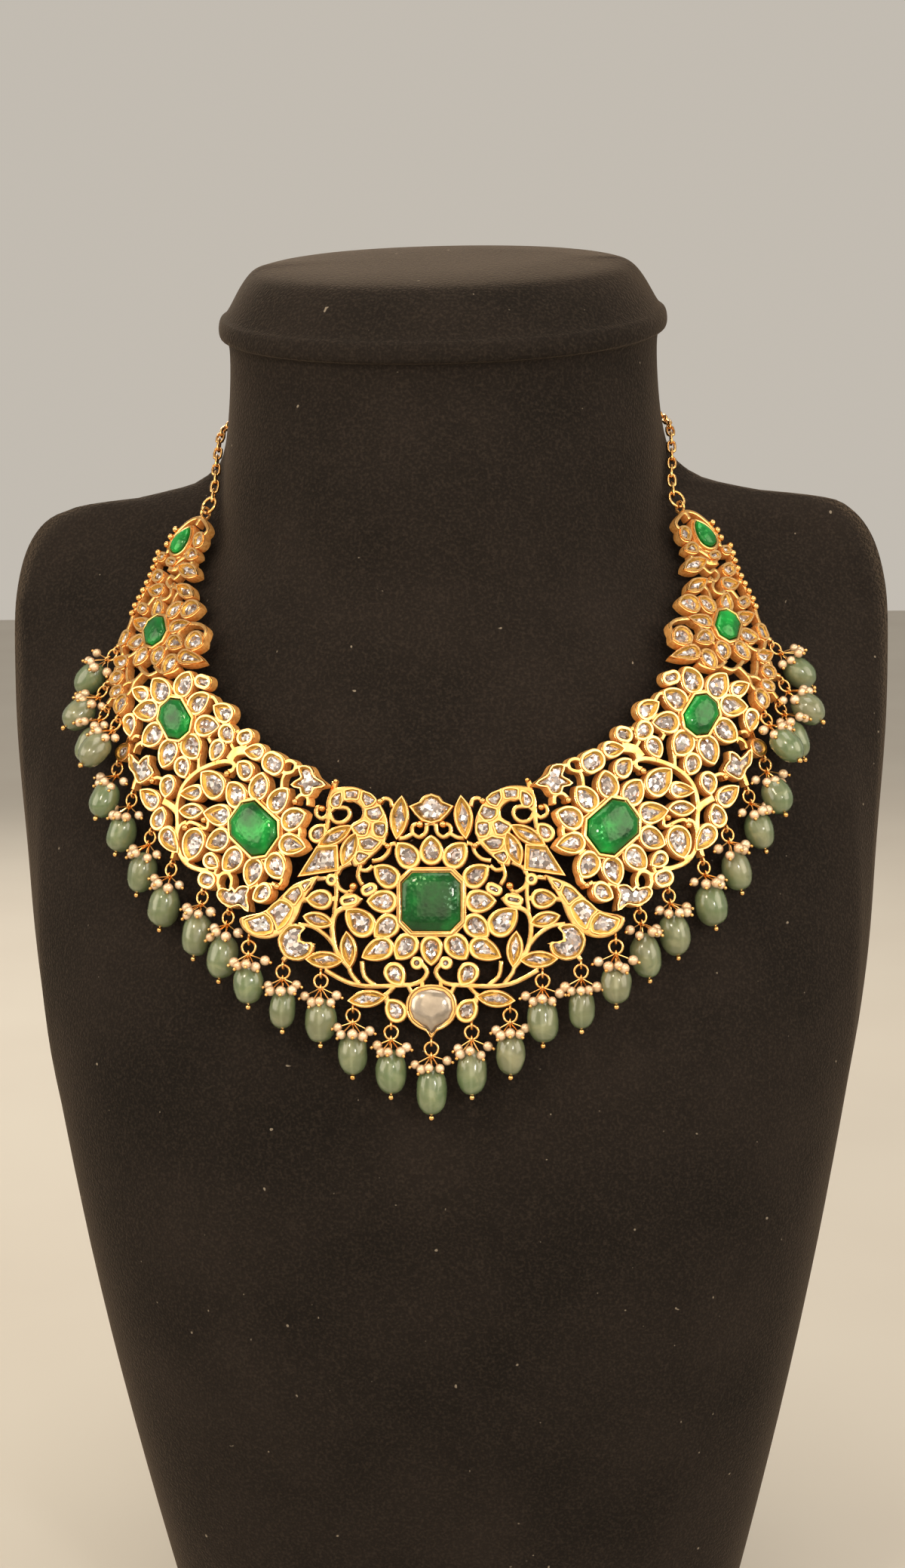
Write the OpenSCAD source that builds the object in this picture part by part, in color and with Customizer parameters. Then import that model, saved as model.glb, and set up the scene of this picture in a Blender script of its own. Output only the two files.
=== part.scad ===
/* [Bust] */
// Height of the shoulder line's highest section above the table
shoulder_z = 287; // [270:1:300]
// Half width at the widest part of the shoulders
shoulder_half_w = 105; // [95:1:115]
// Half width of the neck under the cap
neck_half_w = 50; // [46:0.5:54]
// How far the lip of the cap stands out from the neck
lip_proud = 1.6; // [0.8:0.1:3]
// Forward slant of the cap
cap_slant = 11; // [6:1:16]

/* [Necklace] */
// Height of the centre stone above the table
centre_z = 200; // [195:1:205]
// How far the centre stone's face lies in front of the base's centre
centre_front = 57; // [56:0.5:60]
// Thickness of the gold plates
plate_t = 2.2; // [1.8:0.1:2.6]
// Depth of the stones' seats
seat_depth = 1.3; // [1:0.1:1.5]
// Width of the gold rim round each stone
rim = 0.6; // [0.5:0.05:0.8]
// Clearance between a stone and its seat
seat_gap = 0.12; // [0.1:0.01:0.2]
// Width of the thin vine wires
vine_w = 0.9; // [0.7:0.05:1.2]

/* [Drops] */
// Wire radius of the jump rings
ring_wire = 0.28; // [0.2:0.02:0.34]
// Radius of a jump ring, to the middle of its wire
ring_r = 1.45; // [1.35:0.05:1.7]
// Radius of the bead pins
pin_r = 0.22; // [0.15:0.01:0.25]
// Radius of the bore through a bead
bead_bore = 0.36; // [0.33:0.01:0.5]
// Radius of the ball at a pin's end
pin_ball = 0.6; // [0.5:0.05:0.8]

/* [Chain] */
// Diameter of the tube that the cable chain fills
chain_d = 2; // [1.6:0.1:2.4]
// Length of the clasp
clasp_l = 10; // [8:0.5:12]

/* [Hidden] */
BEADS_A_SIDE = 15;
function two_digits(k) = str(k < 10 ? "0" : "", k);
BEAD_NODES = concat(
    ["bead_centre"],
    [for (k = [1:BEADS_A_SIDE]) str("bead_right_", two_digits(k))],
    [for (k = [1:BEADS_A_SIDE]) str("bead_left_", two_digits(k))]
);
$fn = 32;

GOLD = "goldenrod";
EMERALD = "seagreen";
CLEAR = "lightgray";
BEAD_GREEN = "darkseagreen";
VELVET = "dimgray";

// Seats of the plates: place of the plate's own origin, backward pitch and outward yaw.
// A plate is drawn flat, x along the horizontal, y up the plate, z out of its face.
PLACE_CENTRE = [[0, -centre_front, centre_z], 14, 0];
PLACE_SIDE = [[39, 8 - centre_front, centre_z + 14.5], 17.2, 28];
PLACE_UPPER = [[64.5, 40.5 - centre_front, centre_z + 54.5], 32, 38];

module on_plate(place) {
    translate(place[0]) rotate([90 - place[1], 0, place[2]]) children();
}

module both_sides() {
    children();
    mirror([1, 0, 0]) children();
}

// Kinds of stone outline: round all round, with one tip at +x, with a tip at each end
OVAL = 0;
PETAL = 1;
LEAF = 2;
// Half width of each kind at x, for a length l and a width w
function side_arc(x, d, h) = let (r = (d * d + h * h) / (2 * h)) sqrt(max(r * r - x * x, 0)) + h - r;
function half_width(x, l, w, kind) = let (h = w / 2, c = l / 2 - h)
    kind == LEAF ? side_arc(x, l / 2, h)
    : kind == PETAL && x > -c ? side_arc(x + c, l - h, h)
    : let (past = max(abs(x) - c, 0)) sqrt(max(h * h - past * past, 0));
// A closed outline through points on those arcs
function outline(l, w, kind, n) = [
    for (k = [0:n - 1]) let (t = k * 360 / n, x = l / 2 * cos(t))
        [x, (sin(t) < 0 ? -1 : 1) * (abs(sin(t)) < 0.01 ? 0 : half_width(x, l, w, kind))]
];
function turn(p, a) = [p[0] * cos(a) - p[1] * sin(a), p[0] * sin(a) + p[1] * cos(a)];
function placed(row, less, n) = [
    for (p = outline(row[2] - 2 * less, row[3] - 2 * less, row[5], n)) turn(p, row[4]) + [row[0], row[1]]
];

// A point of a smooth curve through hand-set points, and the whole curve.
function between(a, b, c, d, t) =
    0.5 * (2 * b + (c - a) * t + (2 * a - 5 * b + 4 * c - d) * t * t
           + (3 * b - a - 3 * c + d) * t * t * t);
function at(points, k) = points[min(max(k, 0), len(points) - 1)];
function curve(points, steps) = [
    for (k = [0:len(points) - 2]) for (s = [0:steps - 1])
        between(at(points, k - 1), points[k], points[k + 1], at(points, k + 2), s / steps),
    points[len(points) - 1]
];
// The same curve round a closed outline.
function ring_at(points, k) = points[(k + len(points)) % len(points)];
function closed_curve(points, steps) = [
    for (k = [0:len(points) - 1]) for (s = [0:steps - 1])
        between(ring_at(points, k - 1), points[k], ring_at(points, k + 1), ring_at(points, k + 2),
                s / steps)
];
function mirrored(points) = [for (p = points) [-p[0], p[1]]];
function reversed(list) = [for (k = [len(list) - 1:-1:0]) list[k]];
// An outline that is alike on both sides of x = 0, from its right half.
function both_halves(half) = concat(half, reversed([for (p = mirrored(half)) if (p[0] < -0.01) p]));

// Cut-cornered rectangle of a step-cut stone.
function cut_rect(l, w, c) = [
    [l / 2, -w / 2 + c], [l / 2, w / 2 - c], [l / 2 - c, w / 2], [c - l / 2, w / 2],
    [-l / 2, w / 2 - c], [-l / 2, c - w / 2], [c - l / 2, -w / 2], [l / 2 - c, -w / 2]
];

function mean(points) = [for (p = points) 1] * points / len(points);
// Outline drawn in towards its middle by a distance
function shrunk(points, by) = let (m = mean(points))
    [for (p = points) m + (p - m) * (1 - by / norm(p - m))];
// A closed ring at height z, drawn in towards its middle.
function ring(points, scale, z) = let (m = mean(points))
    [for (p = points) let (q = m + (p - m) * scale) [q[0], q[1], z]];

// Solid between rings that have the same number of points, lowest first.
module lofted(rings) {
    n = len(rings[0]);
    last = len(rings) - 1;
    polyhedron(
        points = [for (r = rings) for (p = r) p],
        faces = concat(
            [[for (k = [0:n - 1]) k]],
            [for (j = [0:last - 1]) for (k = [0:n - 1])
                [j * n + k, (j + 1) * n + k, (j + 1) * n + (k + 1) % n, j * n + (k + 1) % n]],
            [[for (k = [n - 1:-1:0]) last * n + k]]
        )
    );
}

// Neck bust

// Levels of the bust, from the base up. Columns: height and depth of the section's middle, its
// tilt, then the half width, the depth to the front, the depth to the back and the power of the
// shoulder outline, then the same of the neck outline without its power.
s_w = shoulder_half_w;
n_w = neck_half_w;
cap_y = 14;
BUST = [
    [0, 0, 0, s_w - 43, 42, 42, 2.6, 20, 20, 20],
    [2, 0, 0, s_w - 41, 44, 44, 2.6, 20, 20, 20],
    [20, 0, 0, s_w - 36, 46, 45, 2.5, 20, 20, 20],
    [65, -1, 0, s_w - 25.5, 54, 48, 2.4, 20, 20, 20],
    [110, -3, 0, s_w - 16.5, 57.5, 52, 2.3, 20, 20, 20],
    [145, -3, 0, s_w - 10, 58.4, 54, 2, 20, 20, 20],
    [165, -3, 0, s_w - 7, 57, 54.5, 1.9, 20, 20, 20],
    [182, -2, 0, s_w - 5, 54.6, 54, 1.78, 36, 52, 46],
    [200, 0, 0, s_w - 4, 51, 52, 1.68, 50, 51, 46],
    [215, 2, 0, s_w - 2.5, 48, 50, 1.55, 62, 50, 46],
    [230, 5, 0, s_w - 1, 43, 47, 1.45, 66, 50, 45],
    [243, 8, 0, s_w - 0.3, 37.4, 43, 1.34, 64, 50, 44],
    [255, 10, 0, s_w, 31, 38, 1.35, 61, 49.6, 43],
    [264, 12, 0, s_w - 0.6, 25, 33, 1.35, 57.5, 49.6, 42],
    [272, 13, 0, s_w - 2.4, 18, 28, 1.35, 53.4, 49.8, 41.5],
    [278, 13.5, 0, s_w - 6, 15, 24, 1.4, 53, 49.8, 41],
    [281.5, cap_y, 0, s_w - 11, 12, 19, 1.5, 52.8, 49.8, 41],
    [284, cap_y, 0.5, s_w - 24, 9, 14, 1.5, 52.6, 49.6, 40.8],
    [shoulder_z, cap_y, 1, s_w - 44, 6, 9, 1.5, 52.4, 49.2, 40.6],
    [292, cap_y, 2.5, 50, 5, 7, 1.6, 52, 48.6, 40.4],
    [300, cap_y, 5, 40, 5, 7, 2, n_w + 1.2, 47.6, 40.2],
    [311, cap_y, 9, 40, 5, 7, 2, n_w + 0.2, 46.4, 40],
    [321.5, cap_y, cap_slant, 40, 5, 7, 2, n_w, 45.6, 39.8],
    [322.6, cap_y, cap_slant, 40, 5, 7, 2, n_w + lip_proud * 0.8, 46.8, 41],
    [324.8, cap_y, cap_slant, 40, 5, 7, 2, n_w + lip_proud, 47.2, 41.4],
    [327, cap_y, cap_slant, 40, 5, 7, 2, n_w + lip_proud * 0.6, 46.6, 40.8],
    [333, cap_y, cap_slant, 40, 5, 7, 2, n_w - 2.2, 43.8, 38],
    [336.6, cap_y, cap_slant, 40, 5, 7, 2, n_w - 5.2, 40.6, 35.4],
    [338, cap_y, cap_slant, 40, 5, 7, 2, n_w - 8, 37.6, 32.6],
    [338.8, cap_y, cap_slant, 40, 5, 7, 2, n_w - 22, 24, 19]
];
BUST_SIDES = 48;
// How sharply the neck turns into the shoulders
BLEND = 12;

function polar(a, w, d, power) =
    pow(pow(abs(cos(a)) / w, power) + pow(abs(sin(a)) / d, power), -1 / power);
function bust_r(row, a) =
    let (back = sin(a) > 0)
    pow(pow(polar(a, row[3], back ? row[5] : row[4], row[6]), BLEND)
        + pow(polar(a, row[7], back ? row[9] : row[8], 2.1), BLEND), 1 / BLEND);
function bust_point(row, a) =
    let (r = bust_r(row, a), y = r * sin(a))
    [r * cos(a), row[1] + y * cos(row[2]), row[0] + y * sin(row[2])];

module neck_bust() {
    color(VELVET)
        lofted([for (row = BUST) [for (k = [0:BUST_SIDES - 1]) bust_point(row, -k * 360 / BUST_SIDES)]]);
}

// Layout of the plates. Every stone row has the columns x, y, length, width, direction of its
// tip and kind of outline, in the plate's own plane and with its gold rim.
P = PETAL;
L = LEAF;
O = OVAL;

CENTRE_EMERALD = [13, 13, 2.3];
// Petals and leaves of the right half, then those on the middle line
CENTRE_HALF = [
    [5.3, 10.1, 6.7, 5.3, 52, P], [9.7, 5.7, 6.6, 5.1, 38, P], [10.6, 0.1, 6.8, 5.2, 0, P],
    [9.8, -5.4, 6.6, 5.2, -40, P], [15.5, -4.1, 7.8, 5.9, 42, P], [5.6, -9.7, 6.6, 5.3, -52, P],
    [11.6, -10.3, 7.6, 5.1, -25, P], [7.7, -15.5, 5.7, 4.6, -122, P], [7.7, -23, 5.7, 4.7, 55, P],
    [6.9, 18.1, 9.6, 4.2, 97, L], [17.8, -10.1, 8, 3.7, 84, L], [22.9, -12.3, 8.4, 3.9, 2, L],
    [24.3, -3.8, 7, 3.6, 14, L], [24.1, 0.6, 5.9, 4.5, 0, P], [13.7, -20.6, 8.6, 3.9, -6, L],
    [20.7, 14.2, 8.8, 3.7, -30, L], [17.6, 11.3, 8.2, 3.9, -68, L], [24.3, 14.9, 4.8, 3.9, 130, P]
];
CENTRE_MIDDLE = [[0, 11.1, 6.6, 5.3, 90, P], [0, -10.4, 6.6, 5, -90, P]];
// The smallest stones of the right half
CENTRE_CHIPS = [
    [3.1, -13, 2.9, 2.9, 0, O], [13.4, 2.7, 3.8, 2.6, -25, O], [17.6, 0.4, 4.3, 2.6, -12, O],
    [21.4, 4.8, 2.8, 2.8, 0, O], [13.6, 21.8, 3.9, 3.1, 50, O], [17.3, 23, 3.9, 3, -5, O],
    [20.8, 21.7, 4.6, 3.1, -68, P], [12.3, 18.7, 3.9, 3, 15, O],
    [10.9, 15.5, 4.2, 2.9, 80, O], [14.9, 15.6, 4.3, 3.1, -20, O],
    [13.1, 12.3, 4.5, 3.4, -25, O], [15.3, 9.3, 2.9, 2.9, 0, O],
    [26.9, 3.4, 2.9, 2.3, -40, O], [29.5, 1.1, 3.8, 3, -45, O]
];
// Stones with outlines of their own: right half of the tulip and of the base crystal, then
// whole outlines of the kite, the comma and the two horn stones
TULIP = both_halves([[0, 16.6], [2.1, 17.2], [3.6, 18.7], [4.8, 20.4], [2.7, 21.5], [1.8, 22.7],
                     [0, 23.3]]);
CRYSTAL = both_halves([[0, -29], [1.1, -27.6], [2.9, -26.7], [4.7, -25.1], [5.5, -22.8], [5, -20.1],
                       [3.2, -18.2], [0, -17.5]]);
KITE = [[19.7, 6.7], [28.5, 5.6], [24.8, 12.1], [20.1, 12.3]];
COMMA = [[27.6, -5.8], [28.4, -7], [27.3, -8.8], [25.2, -9], [25.8, -11.2], [28.6, -12.6], [31.7, -11.5],
         [33, -8], [30.8, -4.8], [27.2, -4.9]];
HORN_INNER = [[31.2, -5], [33.9, -6.4], [34.9, -1.7], [32.2, 0.4], [30, -1.9]];
HORN_OUTER = [[33.6, -6], [35.2, -7.5], [38.9, -6.6], [40.9, -3.5], [36.9, -2.2], [34.7, -2]];

// Solid gold fields of the bird and the horn, and its wires. A wire row has its width, then
// the points of its line.
BIRD_NECK = [[16.2, 7.6], [12.7, 9.9], [10.2, 12.6], [9.3, 16], [10, 19.2], [12, 22.2], [15, 24.3],
             [18, 24.9], [21.2, 24.3], [22.6, 21.6], [22.2, 19], [20.2, 20.4], [18.6, 21.8],
             [16.6, 21.4], [15, 20], [15.2, 18], [17.4, 16.4], [16.2, 13], [17, 9]];
HORN = [[24.4, 5.4], [26.6, 5], [29.8, 3.7], [32.4, 1.2], [35.2, -1.4], [38, -2.6], [41.2, -3.4],
        [40.4, -5.8], [37.8, -7.5], [34.6, -7.7], [31.3, -6.1], [29, -3.4], [27.4, 0.6]];
CENTRE_WIRES = [
    [1, [[2.4, -12.8], [0.9, -15], [3, -17.3], [8, -17.8], [14, -17.9], [18.2, -17], [22.8, -14.5]]],
    [vine_w, [[12, -17.8], [14.4, -15.8], [14.9, -12.6]]],
    [vine_w, [[15.4, -17.5], [17.4, -15], [17.6, -13]]],
    [1.1, [[17.6, -14], [20.4, -10.4], [21.3, -6], [20.8, -2.8], [19.2, -1.4], [16.6, -0.6], [15.2, 1]]],
    [vine_w, [[20.9, -2.4], [20.4, 1.5], [20.6, 4]]],
    [vine_w, [[20.8, -9.4], [22.8, -7], [25.6, -5.2], [28.6, -4.7]]],
    [vine_w, [[21.2, -5.2], [22.6, -4.6]]],
    [vine_w, [[8, -18], [9.6, -19.6], [11.4, -20.4]]],
    [vine_w, [[4.2, -19.4], [5, -17.8]]],
    [vine_w, [[2, -18.6], [2, -16.8]]],
    [1.1, [[9.4, -21.6], [9.8, -19.6]]],
    [vine_w, [[1, 16.8], [1.2, 14.9], [2.6, 13.9], [4.1, 14.9], [3.9, 16.4], [2.6, 16.8]]],
    [vine_w, [[4.1, 14.6], [5.6, 13.8], [7.1, 13.6]]],
    [vine_w, [[8.5, 20.4], [8.9, 21.9], [10.2, 22.2], [11, 21.2]]],
    [vine_w, [[7.6, 12.6], [8.8, 12.2], [9.3, 10.6], [10.8, 9.2], [12.8, 8.8]]],
    [vine_w, [[9.4, 12.1], [10.9, 13]]],
    [vine_w, [[20.6, 20.4], [18.2, 20.2], [17.6, 18.6], [19, 17.2], [21, 17.4], [22, 19.2]]],
    [vine_w, [[22.2, 19], [23.4, 18], [24.8, 18.8], [24.6, 20.4], [23.6, 20.4]]],
    [1, [[22.2, 20], [22.3, 17.4], [22.6, 15.6]]],
    [vine_w, [[17.2, 8.4], [19.4, 7.4], [20.6, 5.4], [19.8, 3], [17.8, 2.1], [16.6, 3.2]]],
    [vine_w, [[15.2, 8], [15.8, 5.6], [14.8, 3.6]]],
    [vine_w, [[12.6, 7.8], [13.8, 6.8], [15.4, 7]]],
    [vine_w, [[19.8, 7], [20.2, 6]]],
    [vine_w, [[22.6, 5.2], [24.6, 5]]],
    [1.1, [[26.4, 0.6], [28, 0.4]]],
    [1.1, [[20.4, 0.8], [22, 0.6]]],
    [1.2, [[20.8, 25.9], [21.4, 23.6], [22, 21.4]]],
    [1, [[31.6, -4.4], [32.6, -6]]],
    [1, [[30.9, -11.2], [31.9, -12.5]]]
];
// Little balls at the ends of scrolls: x, y and diameter
CENTRE_BALLS = [[2.5, 16.6, 1.4], [11, 21.6, 1.3], [23.6, 20.2, 1.3], [16.8, 3.4, 1.5], [9.4, 12, 1.2],
                [20.6, 26, 1]];

SIDE_EMERALD = [[-0.4, 0.1], 32, [12.6, 9.6, 2.4]];
SECOND_EMERALD = [[25.5, 22.9], 48, [9.6, 7.2, 2]];
SIDE_STONES = [
    [-10.2, 3.1, 7, 5.5, 155, P], [-10.9, -2.5, 7.6, 5.1, 184, P], [-7.4, -7.5, 6.9, 5.6, 228, P],
    [-1.6, -9.3, 6.9, 5.6, -82, P], [4.3, -7.1, 6.8, 5.7, -50, P], [9, -3.2, 7, 5.5, -30, P],
    [10.2, 2.4, 7.8, 5.3, 2, P], [6.1, 7.3, 7, 5.7, 48, P], [0.1, 9.4, 6.7, 5.7, 95, P],
    [-5.6, 6.9, 7, 5.6, 128, P],
    [12.8, 25.2, 6.6, 4.8, 25, P], [12.9, 16.6, 5.6, 4.6, -68, P],
    [4.6, 12.8, 5.6, 4.6, 38, P], [12.9, 9.2, 8.4, 6.2, 35, P],
    [15.5, -4.6, 7.8, 6.5, -82, P], [22, -4.3, 7.7, 4.9, 222, P],
    [24.7, 30.9, 6.8, 5.8, 112, P], [31.2, 29.3, 7.4, 5.9, 45, P], [34.3, 24.4, 7.6, 5.5, -8, P],
    [31.4, 18.9, 7, 5.9, -42, P], [26.3, 15, 7.3, 5.9, -76, P], [20, 16.9, 7, 5.9, 226, P],
    [16.5, 21.9, 7.4, 5.3, 178, P], [19.8, 27, 7, 5.5, 145, P],
    [38.3, 20.8, 6, 4.3, 252, P], [29.5, 4.7, 7, 4.8, 30, P],
    [25, 7.7, 5.6, 4.7, -90, P], [26, 0.4, 5.8, 4.7, 100, P], [21.6, 12.2, 5.6, 4.7, 240, P]
];
SIDE_CHIPS = [
    [9.8, -8, 5.2, 3.9, 205, P], [10.3, -12, 5.3, 4.1, 190, O], [-4.8, -13.6, 5.6, 4.6, -35, P],
    [19.6, 31.7, 5, 3.4, 12, O], [39.1, 14.8, 4.8, 3.9, 130, P], [-2.7, 14.7, 6.6, 5.2, 200, O],
    [2.8, 16.9, 6, 4.1, 0, P], [5.8, 20, 4.8, 3.9, 165, O], [10.8, 20.4, 5.5, 4.5, 220, P],
    [18.1, 6.7, 6.6, 4, -8, P], [17.3, 2.7, 7.2, 3.9, -4, L], [36.6, 28.2, 5.8, 4.1, 20, P]
];
SIDE_TULIP = [[-17.3, 10.9], [-14.4, 12.6], [-12.4, 14.8], [-9.6, 14.6], [-10.4, 12.4], [-8.2, 10.3],
              [-10.4, 9.6], [-11.6, 8], [-13.8, 8.2], [-14.9, 10]];
SIDE_BELL = [[-2.2, -17.8], [-1.2, -14.6], [-1.6, -12.6], [0.6, -12.4], [2, -13.4], [3.6, -12.8],
             [4.4, -13.6], [6.6, -13.6], [7.2, -15], [5.4, -16.8], [2.6, -17.5], [0, -16.8]];
SIDE_LILY = [[29.2, 10.3], [30.8, 12.4], [31.2, 14.4], [32.8, 13.9], [34.6, 12.6], [37.2, 14.3],
             [36.8, 11.4], [35.2, 9.8], [33.2, 7.6], [31, 8.4]];
SIDE_WIRES = [
    [1.1, [[9.2, 12.1], [7.9, 12.6], [8, 14], [10.6, 14.3], [14.2, 13.3], [17.6, 11.6], [20.3, 9],
           [21.5, 6.4], [21.6, 3], [20.9, 0], [20.4, -3], [19.4, -6.2], [17, -8.8], [13.6, -9.9],
           [10.4, -10]]],
    [vine_w, [[17.3, 11.6], [17.6, 14.6], [17.4, 15.6]]],
    [vine_w, [[20, 9.4], [19.6, 10.6], [20.6, 11]]],
    [1.6, [[21.4, 2.2], [23.2, 3.4], [25.8, 4.4]]],
    [vine_w, [[13.2, 2], [12.4, 0], [13, -0.9], [15.4, -0.1], [17.6, 0.2], [18.6, -0.9]]],
    [vine_w, [[18.4, 0.2], [19.9, -0.6], [20.4, -2.6]]],
    [vine_w, [[16, -8.2], [17.6, -7.9], [18.8, -7.2]]],
    [2.2, [[5, 17.2], [7.9, 16.6], [9.4, 14.6]]],
    [vine_w, [[7.8, 21.2], [8.6, 21]]],
    [vine_w, [[9.6, 18.4], [8.4, 17]]],
    [vine_w, [[-5, 13.2], [-6.4, 12.8], [-8.2, 13.4], [-8.4, 15], [-6.8, 15.6], [-5.4, 15]]],
    [vine_w, [[-6.3, 12.9], [-5.6, 11.4], [-5.9, 8.6]]],
    [vine_w, [[-13.2, 6.2], [-12.8, 8], [-11, 8.4], [-9.8, 7.2]]],
    [vine_w, [[-8.4, 14.2], [-9.8, 14.4]]],
    [vine_w, [[-9.4, -9.2], [-9.3, -10.9], [-8.2, -11.6], [-6.8, -11.2]]],
    [vine_w, [[-11, 2], [-12, 0.9], [-12, -0.6], [-11, -1.8]]],
    [1, [[3.8, -13.2], [3.8, -11.4], [5.2, -10], [7, -10.6], [7.4, -12.4], [6.6, -13.8]]],
    [vine_w, [[7.2, -10.8], [8.2, -11]]],
    [vine_w, [[8.2, -9], [8.6, -10.6]]],
    [vine_w, [[-3.4, -12], [-2, -12.2], [-1.4, -13]]],
    [vine_w, [[26.8, 9.2], [28.4, 9.5], [29.6, 9]]],
    [vine_w, [[34.2, 17.2], [35.8, 16.2], [36.2, 14.6]]],
    [vine_w, [[35.2, 18.4], [36.6, 18.4], [37.4, 17.4]]],
    [vine_w, [[37.9, 18.8], [38.6, 16]]],
    [vine_w, [[36.4, 13.4], [38.4, 14.6]]],
    [1.1, [[34.8, 6.3], [34.5, 7.8], [34.2, 9.4]]],
    [1, [[6, 13.6], [8, 13.6]]],
    [1, [[3, 11.6], [2, 10]]],
    [vine_w, [[18, 28], [16.2, 28.4], [14.4, 26.4]]],
    [vine_w, [[13.2, 22.4], [13.6, 22]]],
    [vine_w, [[15, 18.2], [16, 19.4]]],
    [vine_w, [[36.4, 22.6], [37.4, 22.8]]],
    [1, [[20.6, -6.3], [20.9, -8.3]]]
];
SIDE_BALLS = [[9.2, 11.6, 1.4], [18.4, -1.1, 1.4], [-9.9, 6.8, 1.3], [13.6, 1, 1.3], [29.5, 8.6, 1.3],
              [-8.4, -11.8, 1.2]];

OCTAGON_EMERALD = [[0.6, 0.2], 52, [7.8, 6, 1.7]];
PEAR_EMERALD = [4.4, 23.6, 8.4, 6.2, 108, P];
UPPER_STONES = [
    [-2.4, 6.1, 5.4, 4.4, 128, P], [3.4, 6.2, 5.6, 4, 62, P], [7.2, 2, 6, 3.8, 12, P],
    [6, -2.8, 5.8, 4.4, -12, P], [2.4, -6.2, 5.5, 4.5, -62, P], [-3.2, -5.8, 5.6, 4.6, -112, P],
    [-7.1, -2.2, 6.2, 4.1, 192, P], [-6.2, 2.2, 6.8, 3.7, 165, P],
    [-13.2, -1.4, 6.4, 5.2, 195, P], [-14, -5.6, 9, 4, 186, P], [-8, -7.6, 5.7, 4.8, -80, P],
    [-7.5, 6.6, 6.4, 5, 172, P], [-3.2, 11, 7.6, 3.5, 20, L], [-1.4, 16.2, 8.2, 3.9, 15, L],
    [6.6, 10.7, 5.8, 4, 0, P], [2.6, -18.4, 5.6, 4.6, -100, P]
];
UPPER_CHIPS = [
    [-0.6, 20.4, 4.8, 3.4, 190, P], [-0.7, 24.2, 4.6, 3.6, 240, O], [5.3, 18.2, 4.1, 2.6, 10, O],
    [7.9, 14.4, 4.6, 3.5, 20, O], [8.4, 5.8, 4.4, 3, 20, O], [10.4, -2, 4.8, 3.2, 90, O],
    [8.4, -8, 5.6, 3.9, 10, P], [7.6, -12, 4.6, 3.9, 0, O], [5.6, -15.4, 4.4, 3.6, -20, O],
    [9.4, 19.4, 3.2, 2.8, 0, O]
];
UPPER_WIRES = [
    [vine_w, [[-15.2, -1.4], [-15.2, 1.4], [-12.6, 2.8], [-8.4, 2.9]]],
    [1, [[-6.8, -1], [-6.6, 1]]],
    [1, [[-5, -3], [-4.2, -4.8]]],
    [vine_w, [[1, 15.4], [2, 14], [3.8, 14.6], [4.4, 13.2], [2.6, 11.8], [1.4, 12.8]]],
    [vine_w, [[2.4, 12], [1.2, 10.2], [1.8, 8.8], [3.6, 8.6], [4.4, 9.6]]],
    [vine_w, [[-1.2, 11.6], [1.6, 11.8]]],
    [vine_w, [[-0.9, 6.2], [-0.5, 9], [-1.2, 11.2]]],
    [1.6, [[0.8, 18], [3, 16.6], [5.6, 16.6]]],
    [1.2, [[4, 18], [1.2, 20.2]]],
    [1, [[11.1, 20.6], [10.4, 17], [10.2, 13], [10.6, 9], [11.2, 5.4], [10.8, 2], [10.8, 0]]],
    [vine_w, [[9.2, 16], [10.2, 16]]],
    [vine_w, [[9, 11.4], [10.4, 11]]],
    [vine_w, [[10, 6.6], [11.2, 6.6]]],
    [vine_w, [[8.2, 20.4], [8.6, 23.6], [7.4, 26.6], [5, 29.2], [2.4, 30], [0, 29], [-2.2, 27],
              [-1.6, 25.6]]],
    [1.2, [[0.4, 22.2], [1.4, 21.4]]],
    [1, [[-1.4, 18], [-1.2, 18.8]]],
    [vine_w, [[-11.4, -8], [-10.4, -9], [-8, -9.7], [-5.4, -9.4], [-3.2, -8.2]]],
    [vine_w, [[-5, -9.5], [-2.8, -10.6], [-0.4, -10], [1.8, -8.6]]],
    [1, [[-0.4, -10], [1.2, -12.6], [1.2, -15], [2.4, -16.4]]],
    [vine_w, [[1, -12], [3, -12.8], [4.6, -11.2], [5.6, -9]]],
    [vine_w, [[3.2, -12.8], [4.6, -13.8]]],
    [vine_w, [[4.6, -4.8], [6, -6.2], [7.6, -6.4]]],
    [1.2, [[9.2, -9.4], [9, -10.8]]],
    [1.2, [[6.6, -13.2], [6, -14.2]]],
    [1.2, [[4.2, -16.8], [4.6, -16.4]]],
    [1, [[8.4, -3.6], [9.2, -3.4]]],
    [1, [[8.8, -6.4], [10.4, -4.2]]],
    [1, [[6, 9.8], [7.8, 6]]],
    [1, [[6.6, 12.4], [7.4, 13]]],
    [1, [[2.4, 28], [2, 29.6]]],
    [1, [[11.2, -3.4], [12.2, -4.1]]],
    [1, [[9.1, -12.5], [10.7, -13.3]]],
    [1, [[6.5, -16.8], [7.2, -18.7]]]
];
// Grains along the outer edge of the upper plate: x, y and diameter
UPPER_BALLS = [
    [11, 20.4, 1.5], [10.9, 18.4, 1.5], [10.6, 16.4, 1.5], [10.5, 14.4, 1.5], [10.6, 12.4, 1.5],
    [10.8, 10.4, 1.5], [11.1, 8.4, 1.5], [11.4, 6.4, 1.5], [11.3, 4.4, 1.5], [9.2, 22.6, 1.5],
    [9, 24.6, 1.5], [8.4, 26.6, 1.5]
];

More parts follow.
